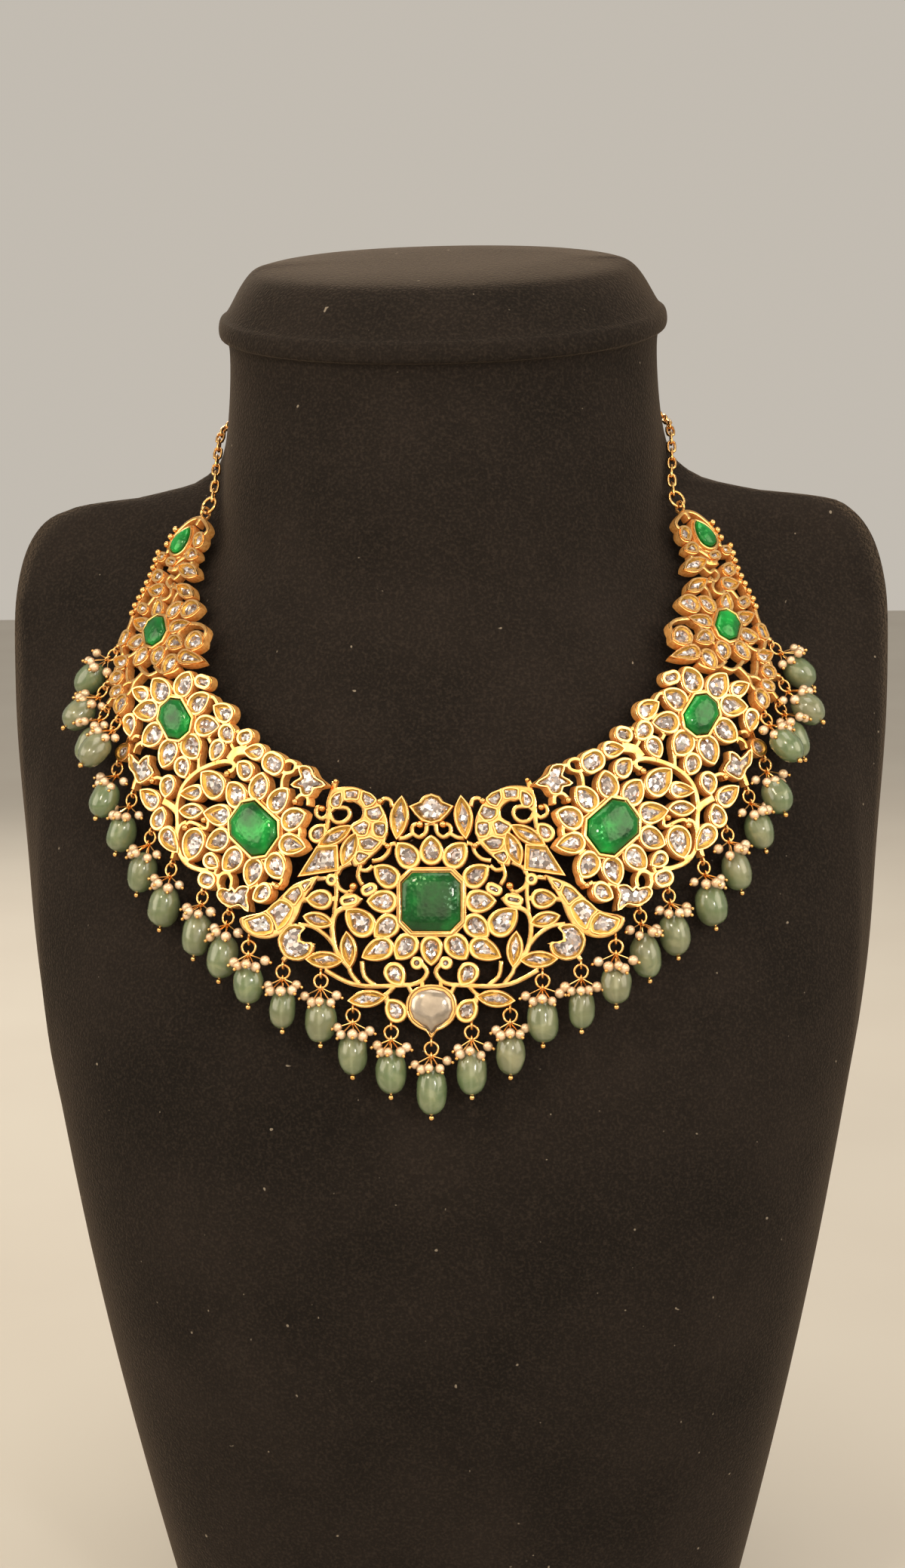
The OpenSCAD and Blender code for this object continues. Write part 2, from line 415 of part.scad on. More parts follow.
// Drops. Columns: x and y of the loop on the plate's edge, the bead's width and its length, its
// lean outwards from straight down the plate and its lift off the plate's plane.
DROPS_CENTRE = [
    [8.6, -26.3, 6.4, 10.6, 0, 0], [16.8, -22.7, 6.2, 10, 0, 0], [23.7, -15.4, 6.8, 10.6, 0, 0],
    [31.9, -13.4, 5.6, 9.6, 0, 0], [39.3, -8.2, 6.4, 9.6, 0, 0]
];
DROP_MIDDLE = [0, -29.8, 6.4, 11.4, 0, 0];
DROPS_SIDE = [
    [3.6, -18.2, 6.6, 10.8, 0, 0], [11.3, -14.5, 6.6, 10.4, 0, 0], [20.9, -9.2, 7, 10.4, 3, 0],
    [28, -2.6, 6.4, 10, 6, 0], [34.8, 5.4, 6.4, 9.6, 10, 0], [40.4, 12.2, 6.4, 9.6, 4, 20]
];
DROPS_UPPER = [
    [2, -21.8, 6.2, 9.8, 5, 20], [7.2, -19.6, 5.8, 9.6, 10, -6], [10.7, -14.2, 6.4, 9.4, 16, 20],
    [12.2, -5, 6.4, 9.4, 32, 0]
];
// The loops and rings lie just under the plates' face
drop_z = -0.7;
loop_r = 0.8;
loop_wire = 0.25;
pin_loop_r = 0.75;
ring_y = -ring_r;
pin_loop_y = ring_y - ring_r;
bead_top_y = pin_loop_y - pin_loop_r - pin_r - 0.1;

// Plates

// A wire: strips between the points of its curve, mitred where they meet.
module lines(wires) {
    for (wire = wires) {
        points = curve(wire[1], 3);
        n = len(points);
        edge = [for (k = [0:n - 1])
            let (d = points[min(k + 1, n - 1)] - points[max(k - 1, 0)])
            [-d[1], d[0]] / norm(d) * wire[0] / 2];
        for (k = [0:n - 2])
            polygon([points[k] + edge[k], points[k] - edge[k],
                     points[k + 1] - edge[k + 1], points[k + 1] + edge[k + 1]]);
    }
}

module balls(rows) {
    for (row = rows) translate([row[0], row[1]]) circle(d = row[2]);
}

module left_of(x, far) { translate([x - 2 * far, -2 * far]) square([2 * far, 4 * far]); }
module right_of(x, far) { translate([x, -2 * far]) square([2 * far, 4 * far]); }

// A petal: half a disc, then two arcs that meet in a tip at +x.
module petal(l, w) {
    h = w / 2;
    d = l - h;
    r = (d * d + h * h) / (2 * h);
    translate([h - l / 2, 0]) {
        intersection() {
            circle(h);
            left_of(0, h);
        }
        intersection() {
            translate([0, h - r]) circle(r);
            translate([0, r - h]) circle(r);
            right_of(0, r);
        }
    }
}

// A leaf: two arcs that meet in a tip at each end.
module leaf(l, w) {
    h = w / 2;
    r = (l * l / 4 + h * h) / (2 * h);
    intersection() {
        translate([0, h - r]) circle(r);
        translate([0, r - h]) circle(r);
    }
}

// An oval with two half discs.
module oval(l, w) {
    h = w / 2;
    a = l / 2 - h;
    if (a < 0.05)
        circle(h);
    else {
        intersection() {
            translate([-a, 0]) circle(h);
            left_of(-a, h);
        }
        translate([-a, -h]) square([2 * a, w]);
        intersection() {
            translate([a, 0]) circle(h);
            right_of(a, h);
        }
    }
}

module lobes(rows, less) {
    for (row = rows) translate([row[0], row[1]]) rotate(row[4]) {
        l = row[2] - 2 * less;
        w = row[3] - 2 * less;
        if (row[5] == LEAF) leaf(l, w);
        else if (row[5] == PETAL) petal(l, w);
        else oval(l, w);
    }
}

module areas(outlines, less) {
    for (points = outlines) polygon(shrunk(points, less));
}

// A stone's cut-cornered outline, or its collar's, which stands out by a margin.
module stone_rect(stone, margin) {
    translate(stone[0]) rotate(stone[1])
        polygon(cut_rect(stone[2][0] + 2 * margin, stone[2][1] + 2 * margin, stone[2][2] + 0.59 * margin));
}

// Margin of plate round a big stone, height and width of its collar
big_margin = 1;
collar_h = 0.7;
collar_w = 0.7;
post_l = 0.9;

module loop_post(row) {
    translate([row[0], row[1], drop_z]) {
        rotate([0, 90, 0]) rotate_extrude() translate([loop_r, 0]) circle(loop_wire);
        translate([-loop_wire, loop_r - loop_wire, -loop_wire])
            cube([2 * loop_wire, post_l, 2 * loop_wire]);
    }
}

// A plate: its outline, the seats cut from its face, the raised collars of its big stones.
module plate(loops) {
    difference() {
        translate([0, 0, -plate_t]) linear_extrude(plate_t) children(0);
        translate([0, 0, -seat_depth]) linear_extrude(seat_depth + 1) children(1);
    }
    linear_extrude(collar_h) difference() {
        children(2);
        children(3);
    }
    for (row = loops) loop_post(row);
}
function centre_rows(rows) = concat(rows, [for (r = rows) [-r[0], r[1], r[2], r[3], 180 - r[4], r[5]]]);
CENTRE_FREE = concat([TULIP, KITE, mirrored(KITE)],
    [for (p = [COMMA, HORN_INNER, HORN_OUTER]) closed_curve(p, 3)],
    [for (p = [COMMA, HORN_INNER, HORN_OUTER]) mirrored(closed_curve(p, 3))]);

CENTRE_LOOPS = concat([DROP_MIDDLE], DROPS_CENTRE, [for (r = DROPS_CENTRE) [-r[0], r[1]]]);

module centre_plaque() {
    color(GOLD) on_plate(PLACE_CENTRE) plate(CENTRE_LOOPS) {
        union() {
            lobes(concat(centre_rows(CENTRE_HALF), CENTRE_MIDDLE, centre_rows(CENTRE_CHIPS)), 0);
            areas(CENTRE_FREE, 0);
            polygon(closed_curve(CRYSTAL, 3));
            stone_rect([[0, 0], 0, CENTRE_EMERALD], big_margin);
            for (side = [0, 1]) mirror([side, 0]) {
                polygon(closed_curve(BIRD_NECK, 3));
                polygon(closed_curve(HORN, 3));
                lines(CENTRE_WIRES);
                balls(CENTRE_BALLS);
            }
        }
        union() {
            lobes(concat(centre_rows(CENTRE_HALF), CENTRE_MIDDLE, centre_rows(CENTRE_CHIPS)), rim);
            areas(CENTRE_FREE, rim);
            polygon(shrunk(closed_curve(CRYSTAL, 3), rim));
            stone_rect([[0, 0], 0, CENTRE_EMERALD], 0);
        }
        stone_rect([[0, 0], 0, CENTRE_EMERALD], collar_w);
        stone_rect([[0, 0], 0, CENTRE_EMERALD], 0);
    }
}

SIDE_FREE = [for (p = [SIDE_TULIP, SIDE_BELL, SIDE_LILY]) closed_curve(p, 3)];

module side_plaque_right() {
    color(GOLD) on_plate(PLACE_SIDE) plate(DROPS_SIDE) {
        union() {
            lobes(concat(SIDE_STONES, SIDE_CHIPS), 0);
            areas(SIDE_FREE, 0);
            stone_rect(SIDE_EMERALD, big_margin);
            stone_rect(SECOND_EMERALD, big_margin);
            lines(SIDE_WIRES);
            balls(SIDE_BALLS);
        }
        union() {
            lobes(concat(SIDE_STONES, SIDE_CHIPS), rim);
            areas(SIDE_FREE, rim);
            stone_rect(SIDE_EMERALD, 0);
            stone_rect(SECOND_EMERALD, 0);
        }
        union() {
            stone_rect(SIDE_EMERALD, collar_w);
            stone_rect(SECOND_EMERALD, collar_w);
        }
        union() {
            stone_rect(SIDE_EMERALD, 0);
            stone_rect(SECOND_EMERALD, 0);
        }
    }
}

// Loop at the top of the upper plate, and the chain's end ring in it
END_LOOP = [1.4, 31.4];
end_loop_r = 1.3;
end_ring_r = 2;
end_wire = 0.35;

module upper_plaque_right() {
    color(GOLD) on_plate(PLACE_UPPER) {
        plate(DROPS_UPPER) {
            union() {
                lobes(concat(UPPER_STONES, UPPER_CHIPS, [PEAR_EMERALD]), 0);
                lobes([PEAR_EMERALD], -0.4);
                stone_rect(OCTAGON_EMERALD, big_margin);
                lines(UPPER_WIRES);
                balls(UPPER_BALLS);
            }
            union() {
                lobes(concat(UPPER_STONES, UPPER_CHIPS), rim);
                lobes([PEAR_EMERALD], rim);
                stone_rect(OCTAGON_EMERALD, 0);
            }
            union() {
                stone_rect(OCTAGON_EMERALD, collar_w);
                lobes([PEAR_EMERALD], 0);
            }
            union() {
                stone_rect(OCTAGON_EMERALD, 0);
                lobes([PEAR_EMERALD], rim);
            }
        }
        translate([END_LOOP[0], END_LOOP[1], drop_z]) rotate([0, 90, 0])
            rotate_extrude() translate([end_loop_r, 0]) circle(end_wire);
    }
}

module side_plaque_left() { mirror([1, 0, 0]) side_plaque_right(); }
module upper_plaque_left() { mirror([1, 0, 0]) upper_plaque_right(); }

// Stones

// Share of a small stone's outline at its table, and the table's height over the plate
table_share = 0.62;
stone_proud = 0.15;
// Extra room where an outline has hollow corners
free_gap = 0.25;
// Heights of the emeralds' tables over their plates
big_top = 2.2;
second_top = 1.9;
small_top = 1.7;

module cut_stone(points) {
    floor_z = seat_gap - seat_depth;
    lofted([ring(points, 1, floor_z), ring(points, table_share, stone_proud)]);
}

module lobe_stones(rows) {
    for (row = rows) cut_stone(placed(row, rim + seat_gap, 12));
}

module free_stone(points) { cut_stone(shrunk(points, rim + seat_gap + free_gap)); }

// Emerald: straight girdle in its collar, a bevelled crown and a flat table
module big_stone(points, top) {
    floor_z = seat_gap - seat_depth;
    lofted([
        ring(points, 0.98, floor_z), ring(points, 0.98, collar_h),
        ring(points, 0.88, top * 0.75), ring(points, 0.66, top)
    ]);
}

module emerald(place, stone, top) {
    color(EMERALD) on_plate(place) translate(stone[0]) rotate(stone[1])
        big_stone(cut_rect(stone[2][0] - 2 * seat_gap, stone[2][1] - 2 * seat_gap, stone[2][2]), top);
}

module centre_emerald() { emerald(PLACE_CENTRE, [[0, 0], 0, CENTRE_EMERALD], big_top); }
module side_emerald_right() { emerald(PLACE_SIDE, SIDE_EMERALD, big_top); }
module side_emerald_left() { mirror([1, 0, 0]) side_emerald_right(); }
module second_emerald_right() { emerald(PLACE_SIDE, SECOND_EMERALD, second_top); }
module second_emerald_left() { mirror([1, 0, 0]) second_emerald_right(); }
module octagon_emerald_right() { emerald(PLACE_UPPER, OCTAGON_EMERALD, small_top); }
module octagon_emerald_left() { mirror([1, 0, 0]) octagon_emerald_right(); }
module pear_emerald_right() {
    color(EMERALD) on_plate(PLACE_UPPER) big_stone(placed(PEAR_EMERALD, rim + seat_gap, 14), small_top);
}
module pear_emerald_left() { mirror([1, 0, 0]) pear_emerald_right(); }

// Height of the crystal's crown over its plate
crystal_proud = 1.3;

module base_crystal() {
    color(CLEAR) on_plate(PLACE_CENTRE) {
        points = shrunk(closed_curve(CRYSTAL, 1), rim + seat_gap + free_gap);
        lofted([
            ring(points, 1, seat_gap - seat_depth), ring(points, 1, 0.1),
            ring(points, 0.8, crystal_proud - 0.3), ring(points, 0.5, crystal_proud)
        ]);
    }
}

// Share of the kite's outline that its stone fills
kite_share = 0.62;
function ring_2d(points, scale) = let (m = mean(points)) [for (p = points) m + (p - m) * scale];

module centre_stones() {
    color(CLEAR) on_plate(PLACE_CENTRE) {
        lobe_stones(concat(centre_rows(CENTRE_HALF), CENTRE_MIDDLE));
        free_stone(TULIP);
        for (side = [0, 1]) mirror([side, 0]) {
            cut_stone(ring_2d(KITE, kite_share));
            free_stone(HORN_INNER);
            free_stone(HORN_OUTER);
        }
    }
}

module side_stones_right() {
    color(CLEAR) on_plate(PLACE_SIDE) lobe_stones(SIDE_STONES);
}
module side_stones_left() { mirror([1, 0, 0]) side_stones_right(); }
module upper_stones_right() {
    color(CLEAR) on_plate(PLACE_UPPER) lobe_stones(UPPER_STONES);
}
module upper_stones_left() { mirror([1, 0, 0]) upper_stones_right(); }

// Drops

// Each drop: its plate and its row. The first is the middle one, then from the middle outwards.
DROPS = concat(
    [for (row = DROPS_CENTRE) [PLACE_CENTRE, row]],
    [for (row = DROPS_SIDE) [PLACE_SIDE, row]],
    [for (row = DROPS_UPPER) [PLACE_UPPER, row]]
);

module on_drop(drop) {
    on_plate(drop[0]) translate([drop[1][0], drop[1][1], drop_z]) rotate(drop[1][4]) children();
}

// The pin and its bead swing forward about the middle of the pin's loop.
module swung(lift) {
    translate([0, pin_loop_y, 0]) rotate([-lift, 0, 0]) translate([0, -pin_loop_y, 0]) children();
}

module drop_ring() {
    translate([0, ring_y, 0]) rotate_extrude() translate([ring_r, 0]) circle(ring_wire);
}

module drop_pin(row) {
    end_y = bead_top_y - row[3];
    translate([0, pin_loop_y, 0]) rotate([0, 90, 0])
        rotate_extrude() translate([pin_loop_r, 0]) circle(pin_r);
    swung(row[5]) {
        translate([0, end_y - pin_ball, 0]) rotate([-90, 0, 0])
            cylinder(r = pin_r, h = pin_loop_y - pin_loop_r + 0.05 - end_y + pin_ball);
        translate([0, end_y - pin_ball, 0]) sphere(pin_ball);
    }
}

// A barrel bead, turned round its bore. Columns of the profile: share of the radius and of the
// half length.
BEAD_PROFILE = [[0.5, 1], [0.74, 0.9], [0.9, 0.68], [0.98, 0.36], [1, 0], [0.98, -0.36], [0.9, -0.68],
                [0.74, -0.9], [0.5, -1]];
module bead(w, l) {
    translate([0, bead_top_y - l / 2, 0]) rotate([-90, 0, 0]) rotate_extrude()
        polygon(concat([[bead_bore, -l / 2], [bead_bore, l / 2]],
                       [for (p = BEAD_PROFILE) [p[0] * w / 2, p[1] * l / 2]]));
}

module bead_of(drop) {
    color(BEAD_GREEN) on_drop(drop) swung(drop[1][5]) bead(drop[1][2], drop[1][3]);
}

module drop_rings() {
    color(GOLD) {
        on_drop([PLACE_CENTRE, DROP_MIDDLE]) drop_ring();
        both_sides() for (drop = DROPS) on_drop(drop) drop_ring();
    }
}

module drop_pins() {
    color(GOLD) {
        on_drop([PLACE_CENTRE, DROP_MIDDLE]) drop_pin(DROP_MIDDLE);
        both_sides() for (drop = DROPS) on_drop(drop) drop_pin(drop[1]);
    }
}

// Chain

// Route of the right half of the chain, from the end ring up the neck and round its back to the
// clasp, which lies there against the velvet.
clasp_y = 55.6;
clasp_z = 304;
CHAIN_ROUTE = [[53.1, 0.6, 285.6], [53.4, 7.4, 293], [53.1, 14, 299], [51.4, 23.1, 301.5],
               [48.1, 31.5, 302.5], [43, 38.8, 303], [33, 47, 303.5], [22, 52, 304], [10.9, 54.7, 304],
               [clasp_l / 2 + 0.4, clasp_y, clasp_z]];
CHAIN_SIDES = 8;

module tube(points, d) {
    n = len(points);
    function along(k) =
        let (a = points[max(k - 1, 0)], b = points[min(k + 1, n - 1)]) (b - a) / norm(b - a);
    lofted([for (k = [0:n - 1])
        let (t = along(k), side = cross(t, [0, 0, 1]) / norm(cross(t, [0, 0, 1])), up = cross(side, t))
        [for (s = [0:CHAIN_SIDES - 1]) let (a = s * 360 / CHAIN_SIDES)
            points[k] + (side * cos(a) - up * sin(a)) * d / 2]]);
}

module chain_right() {
    color(GOLD) tube(curve(CHAIN_ROUTE, 3), chain_d);
}
module chain_left() { mirror([1, 0, 0]) chain_right(); }

module end_rings() {
    color(GOLD) both_sides() on_plate(PLACE_UPPER)
        translate([END_LOOP[0], END_LOOP[1] + end_loop_r + 0.9, drop_z])
            rotate_extrude() translate([end_ring_r, 0]) circle(end_wire);
}

// A plain box clasp with round ends
clasp_t = 2;
clasp_end_r = 1.8;
clasp_flat = 0.8;

module clasp() {
    color(GOLD) translate([0, clasp_y + clasp_t / 2, clasp_z]) rotate([90, 0, 0])
        linear_extrude(clasp_t) offset(r = clasp_end_r)
            square([clasp_l - 2 * clasp_end_r, clasp_flat], center = true);
}

neck_bust();
centre_plaque();
side_plaque_right();
side_plaque_left();
upper_plaque_right();
upper_plaque_left();
centre_emerald();
side_emerald_right();
side_emerald_left();
second_emerald_right();
second_emerald_left();
octagon_emerald_right();
octagon_emerald_left();
pear_emerald_right();
pear_emerald_left();
base_crystal();
centre_stones();
side_stones_right();
side_stones_left();
upper_stones_right();
upper_stones_left();
drop_rings();
drop_pins();
end_rings();
chain_right();
chain_left();
clasp();
bead_of([PLACE_CENTRE, DROP_MIDDLE]);  // bead_centre
for (k = [1:BEADS_A_SIDE]) {
    bead_of(DROPS[k - 1]);
    mirror([1, 0, 0]) bead_of(DROPS[k - 1]);
}
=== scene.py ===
"""A bridal collar of pierced gold plates, set with clear stones and emeralds, on a neck bust."""
import math
import random

import bpy
from mathutils import Matrix, Vector


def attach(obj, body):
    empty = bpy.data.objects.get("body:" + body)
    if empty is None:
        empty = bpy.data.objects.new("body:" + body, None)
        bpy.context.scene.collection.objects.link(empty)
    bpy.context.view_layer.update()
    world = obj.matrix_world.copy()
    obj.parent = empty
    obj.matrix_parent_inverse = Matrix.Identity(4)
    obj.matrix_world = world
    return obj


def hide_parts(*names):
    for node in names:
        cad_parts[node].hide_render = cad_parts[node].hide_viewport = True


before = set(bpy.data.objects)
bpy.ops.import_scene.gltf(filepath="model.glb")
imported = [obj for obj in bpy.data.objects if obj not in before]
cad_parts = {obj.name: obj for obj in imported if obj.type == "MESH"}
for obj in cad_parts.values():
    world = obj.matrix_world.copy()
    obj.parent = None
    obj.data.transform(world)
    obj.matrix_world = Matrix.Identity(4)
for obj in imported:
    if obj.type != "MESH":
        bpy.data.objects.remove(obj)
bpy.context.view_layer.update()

# The photograph's point of view: a camera held half a metre in front of the collar, a hand's
# breadth to the right and above, tipped down and turned a little to the left.
camera_place = Vector((0.0348, -0.5451, 0.3029))
turned, dipped, rolled = (math.radians(angle) for angle in (3.5, 9.0, 0.9))
forward = Vector((-math.sin(turned), math.cos(turned), -math.tan(dipped))).normalized()
level = forward.cross(Vector((0, 0, 1))).normalized()
upright = level.cross(forward)
right = level * math.cos(rolled) - upright * math.sin(rolled)
up = upright * math.cos(rolled) + level * math.sin(rolled)
camera = bpy.data.objects.new("camera", bpy.data.cameras.new("camera"))
camera.data.lens = 53.7
camera.data.sensor_width = 36
camera.data.clip_start = 0.01
stand = Matrix((right, up, -forward)).transposed().to_4x4()
camera.matrix_world = Matrix.Translation(camera_place) @ stand
bpy.context.scene.collection.objects.link(camera)
bpy.context.scene.camera = camera
# Plain tones, in which bright gold stays yellow
bpy.context.scene.view_settings.view_transform = "Standard"


# The table and the light: a wide sheet of pale matt paper and big warm softboxes round it,
# with a pale surround that fills the shadows.
def linear(code, alpha=1.0):
    """A colour written as sRGB hex, in linear light."""
    parts = [int(code[k:k + 2], 16) / 255 for k in (1, 3, 5)]
    return tuple(p / 12.92 if p <= 0.04045 else ((p + 0.055) / 1.055) ** 2.4 for p in parts) + (alpha,)


def add_node(tree, kind, inputs=None, **settings):
    """One node with its settings; an input is a value or the output that feeds it."""
    made = tree.nodes.new(kind)
    for name, value in settings.items():
        setattr(made, name, value)
    for name, value in (inputs or {}).items():
        if isinstance(value, bpy.types.NodeSocket):
            tree.links.new(value, made.inputs[name])
        else:
            made.inputs[name].default_value = value
    return made


def new_material(name):
    """A bare material, its tree, its shader and the piece's own coordinates."""
    material = bpy.data.materials.new(name)
    material.use_nodes = True
    tree = material.node_tree
    tree.nodes.clear()
    shader = tree.nodes.new("ShaderNodeBsdfPrincipled")
    out = tree.nodes.new("ShaderNodeOutputMaterial")
    tree.links.new(shader.outputs["BSDF"], out.inputs["Surface"])
    place = tree.nodes.new("ShaderNodeTexCoord").outputs["Object"]
    return material, tree, shader, place


def set_stops(ramp, stops):
    """The stops of a colour ramp: where each lies, and its hex colour."""
    line = ramp.color_ramp
    while len(line.elements) < len(stops):
        line.elements.new(1.0)
    for element, (where, code) in zip(line.elements, stops):
        element.position = where
        element.color = linear(code)


# Matt paper: no shine, the faintest mottle
paper, tree, shader, place = new_material("matt_paper")
mottle = add_node(tree, "ShaderNodeTexNoise", {"Vector": place, "Scale": 6.0, "Detail": 3.0})
tint = add_node(tree, "ShaderNodeValToRGB", {"Fac": mottle.outputs["Fac"]})
set_stops(tint, [(0.3, "#C1BBB2"), (0.7, "#C6C1B8")])
tree.links.new(tint.outputs["Color"], shader.inputs["Base Color"])
shader.inputs["Roughness"].default_value = 0.9

bpy.ops.object.select_all(action="DESELECT")
bpy.ops.mesh.primitive_plane_add(size=6, location=(0, 0, 0))
table = bpy.context.active_object
table.name = "table_paper"
table.data.materials.append(paper)

world = bpy.data.worlds.new("surround")
bpy.context.scene.world = world
world.use_nodes = True
world.node_tree.nodes["Background"].inputs["Color"].default_value = linear("#E4DCD0")
world.node_tree.nodes["Background"].inputs["Strength"].default_value = 0.7

# Softboxes: the wide ones shine back from the gold, the small ones make the stones sparkle.
# Each has its place, size, power in watts and colour, and looks at the collar.
for name, spot, size, power, code in (
    ("front", (0.05, -1.15, 0.62), 0.80, 3.0, "#FFEBCC"),
    ("left", (-0.95, -0.45, 0.66), 0.80, 6.5, "#FFF0D8"),
    ("right", (0.95, -0.45, 0.66), 0.80, 6.5, "#FFF0D8"),
    ("top", (0.05, -0.20, 1.15), 0.50, 2.5, "#FFF4E4"),
    ("key", (-0.36, -0.74, 0.92), 0.13, 2.6, "#FFEBCC"),
    ("sparkle", (0.42, -0.86, 0.56), 0.10, 1.6, "#FFF8EE"),
    ("behind", (-0.30, 0.95, 0.72), 0.60, 5.0, "#FFF4E4"),
):
    lamp = bpy.data.lights.new(name, "AREA")
    lamp.size = size
    lamp.energy = power
    lamp.color = linear(code)[:3]
    holder = bpy.data.objects.new(name, lamp)
    aim = (Vector((0, -0.03, 0.22)) - Vector(spot)).to_track_quat("-Z", "Y")
    holder.matrix_world = Matrix.Translation(spot) @ aim.to_matrix().to_4x4()
    bpy.context.scene.collection.objects.link(holder)


# The neck bust: a moulded core covered with dark brown velvet, glued down and turned in under
# the foot, with a rounded cap over the neck. Velvet is nearly black face on and paler at a
# grazing look, where the ends of the pile catch the light.
def copy_of(node, name):
    """A new piece with a copy of a node's mesh, to be merged and worked on."""
    piece = bpy.data.objects.new(name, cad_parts[node].data.copy())
    piece.data.materials.clear()
    bpy.context.scene.collection.objects.link(piece)
    return piece


def take(piece):
    """Only this piece is selected and active."""
    bpy.ops.object.select_all(action="DESELECT")
    piece.select_set(True)
    bpy.context.view_layer.objects.active = piece


def merge(piece, apart, flat=0):
    """Joins a copied mesh's loose triangles, and can take out the edges inside flat faces."""
    take(piece)
    bpy.ops.object.mode_set(mode="EDIT")
    bpy.ops.mesh.select_mode(type="VERT")
    bpy.ops.mesh.select_all(action="SELECT")
    bpy.ops.mesh.remove_doubles(threshold=apart)
    if flat:
        bpy.ops.mesh.dissolve_limited(angle_limit=math.radians(flat))
    bpy.ops.object.mode_set(mode="OBJECT")
    bpy.ops.mesh.customdata_custom_splitnormals_clear()
    bpy.ops.object.shade_flat()


def finish_with(piece, kind, **settings):
    """Adds a modifier and applies it."""
    take(piece)
    made = piece.modifiers.new(kind.lower(), kind)
    for name, value in settings.items():
        setattr(made, name, value)
    bpy.ops.object.modifier_apply(modifier=made.name)


def pick(piece, parts, chosen):
    """Opens the piece in edit mode with only these faces or edges selected."""
    mesh = piece.data
    take(piece)
    for group in (mesh.vertices, mesh.edges, mesh.polygons):
        group.foreach_set("select", [False] * len(group))
    for index in chosen:
        getattr(mesh, parts)[index].select = True
    bpy.context.tool_settings.mesh_select_mode = (False, parts == "edges", parts == "polygons")
    bpy.ops.object.mode_set(mode="EDIT")


def done():
    bpy.ops.object.mode_set(mode="OBJECT")


def declare(piece, slot, material, *nodes):
    """The piece's material, its body, and the nodes that it stands for; its slot is not used."""
    if material:
        piece.data.materials.clear()
        piece.data.materials.append(material)
    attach(piece, "root")
    if nodes:
        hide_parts(*nodes)


# Cotton velvet: a dull pile about 1 mm deep, stroked this way and that, with a pale bloom where it
# is looked at aslant and a few specks of lint
velvet, tree, shader, place = new_material("cotton_velvet")
strokes = add_node(tree, "ShaderNodeTexNoise", {"Vector": place, "Scale": 30.0, "Detail": 4.0})
shade = add_node(tree, "ShaderNodeValToRGB", {"Fac": strokes.outputs["Fac"]})
set_stops(shade, [(0.3, "#161311"), (0.7, "#231E1B")])
pile = add_node(tree, "ShaderNodeTexNoise", {"Vector": place, "Scale": 1600.0, "Detail": 2.0})
tips = add_node(tree, "ShaderNodeMapRange", {"Value": pile.outputs["Fac"], "From Min": 0.45,
                                             "From Max": 0.75, "To Max": 0.25})
napped = add_node(tree, "ShaderNodeMix", {"Factor": tips.outputs["Result"], "A": shade.outputs["Color"],
                                          "B": linear("#4A4038")}, data_type="RGBA")
lint = add_node(tree, "ShaderNodeTexNoise", {"Vector": place, "Scale": 700.0, "Detail": 0.0})
specks = add_node(tree, "ShaderNodeMapRange", {"Value": lint.outputs["Fac"], "From Min": 0.87,
                                               "From Max": 0.9, "To Max": 0.5})
dusty = add_node(tree, "ShaderNodeMix", {"Factor": specks.outputs["Result"], "A": napped.outputs["Result"],
                                         "B": linear("#A89C8C")}, data_type="RGBA")
tree.links.new(dusty.outputs["Result"], shader.inputs["Base Color"])
bump = add_node(tree, "ShaderNodeBump", {"Height": pile.outputs["Fac"], "Strength": 0.6,
                                         "Distance": 0.0005})
tree.links.new(bump.outputs["Normal"], shader.inputs["Normal"])
shader.inputs["Roughness"].default_value = 0.95
shader.inputs["Specular IOR Level"].default_value = 0.1
shader.inputs["Sheen Weight"].default_value = 0.4
shader.inputs["Sheen Roughness"].default_value = 0.35
shader.inputs["Sheen Tint"].default_value = linear("#9A8876")

bust = copy_of("neck_bust", "velvet_bust")
merge(bust, apart=2e-5)
take(bust)
bpy.ops.object.mode_set(mode="EDIT")
bpy.ops.mesh.select_all(action="SELECT")
bpy.ops.mesh.tris_convert_to_quads(face_threshold=math.radians(50), shape_threshold=math.radians(60))
done()

# The piping under the cap: a cord sewn in round the neck, in the cap's own slanted plane, and how far
# it stands out
CAP_SLANT, CAP_MIDDLE_Y, PIPING_LOW, PIPING_HIGH = math.radians(11), 0.014, 0.3225, 0.3271
PIPING_PROUD = 0.0012
piping = []
for face in bust.data.polygons:
    level = face.center.z - (face.center.y - CAP_MIDDLE_Y) * math.tan(CAP_SLANT)
    if PIPING_LOW < level < PIPING_HIGH and abs(face.normal.z) < 0.9:
        piping.append(face.index)
pick(bust, "polygons", piping)
bpy.ops.mesh.extrude_region_shrink_fatten(TRANSFORM_OT_shrink_fatten={"value": PIPING_PROUD})
done()

# The shoulders' ridge and the foot's edge stay sharp when the cover is rounded
RIDGE_OUT, NEAR_LEVEL, SHARP_TURN, RIDGE_CREASE = 0.07, 0.001, math.radians(16), 0.9
beside = {}
for face in bust.data.polygons:
    for key in face.edge_keys:
        beside.setdefault(key, []).append(face.normal)
sharp = []
for edge in bust.data.edges:
    faces = beside[tuple(sorted(edge.vertices))]
    ends = [bust.data.vertices[v].co for v in edge.vertices]
    steep = abs(ends[0].z - ends[1].z) > NEAR_LEVEL
    on_ridge = steep and min(abs(end.x) for end in ends) > RIDGE_OUT
    at_foot = max(end.z for end in ends) < NEAR_LEVEL
    if len(faces) == 2 and faces[0].angle(faces[1], 0.0) > SHARP_TURN and (on_ridge or at_foot):
        sharp.append(edge.index)
pick(bust, "edges", sharp)
bpy.ops.transform.edge_crease(value=RIDGE_CREASE)
done()
finish_with(bust, "SUBSURF", levels=2, render_levels=2)
take(bust)
bpy.ops.object.shade_smooth()
declare(bust, "velvet", velvet, "neck_bust")


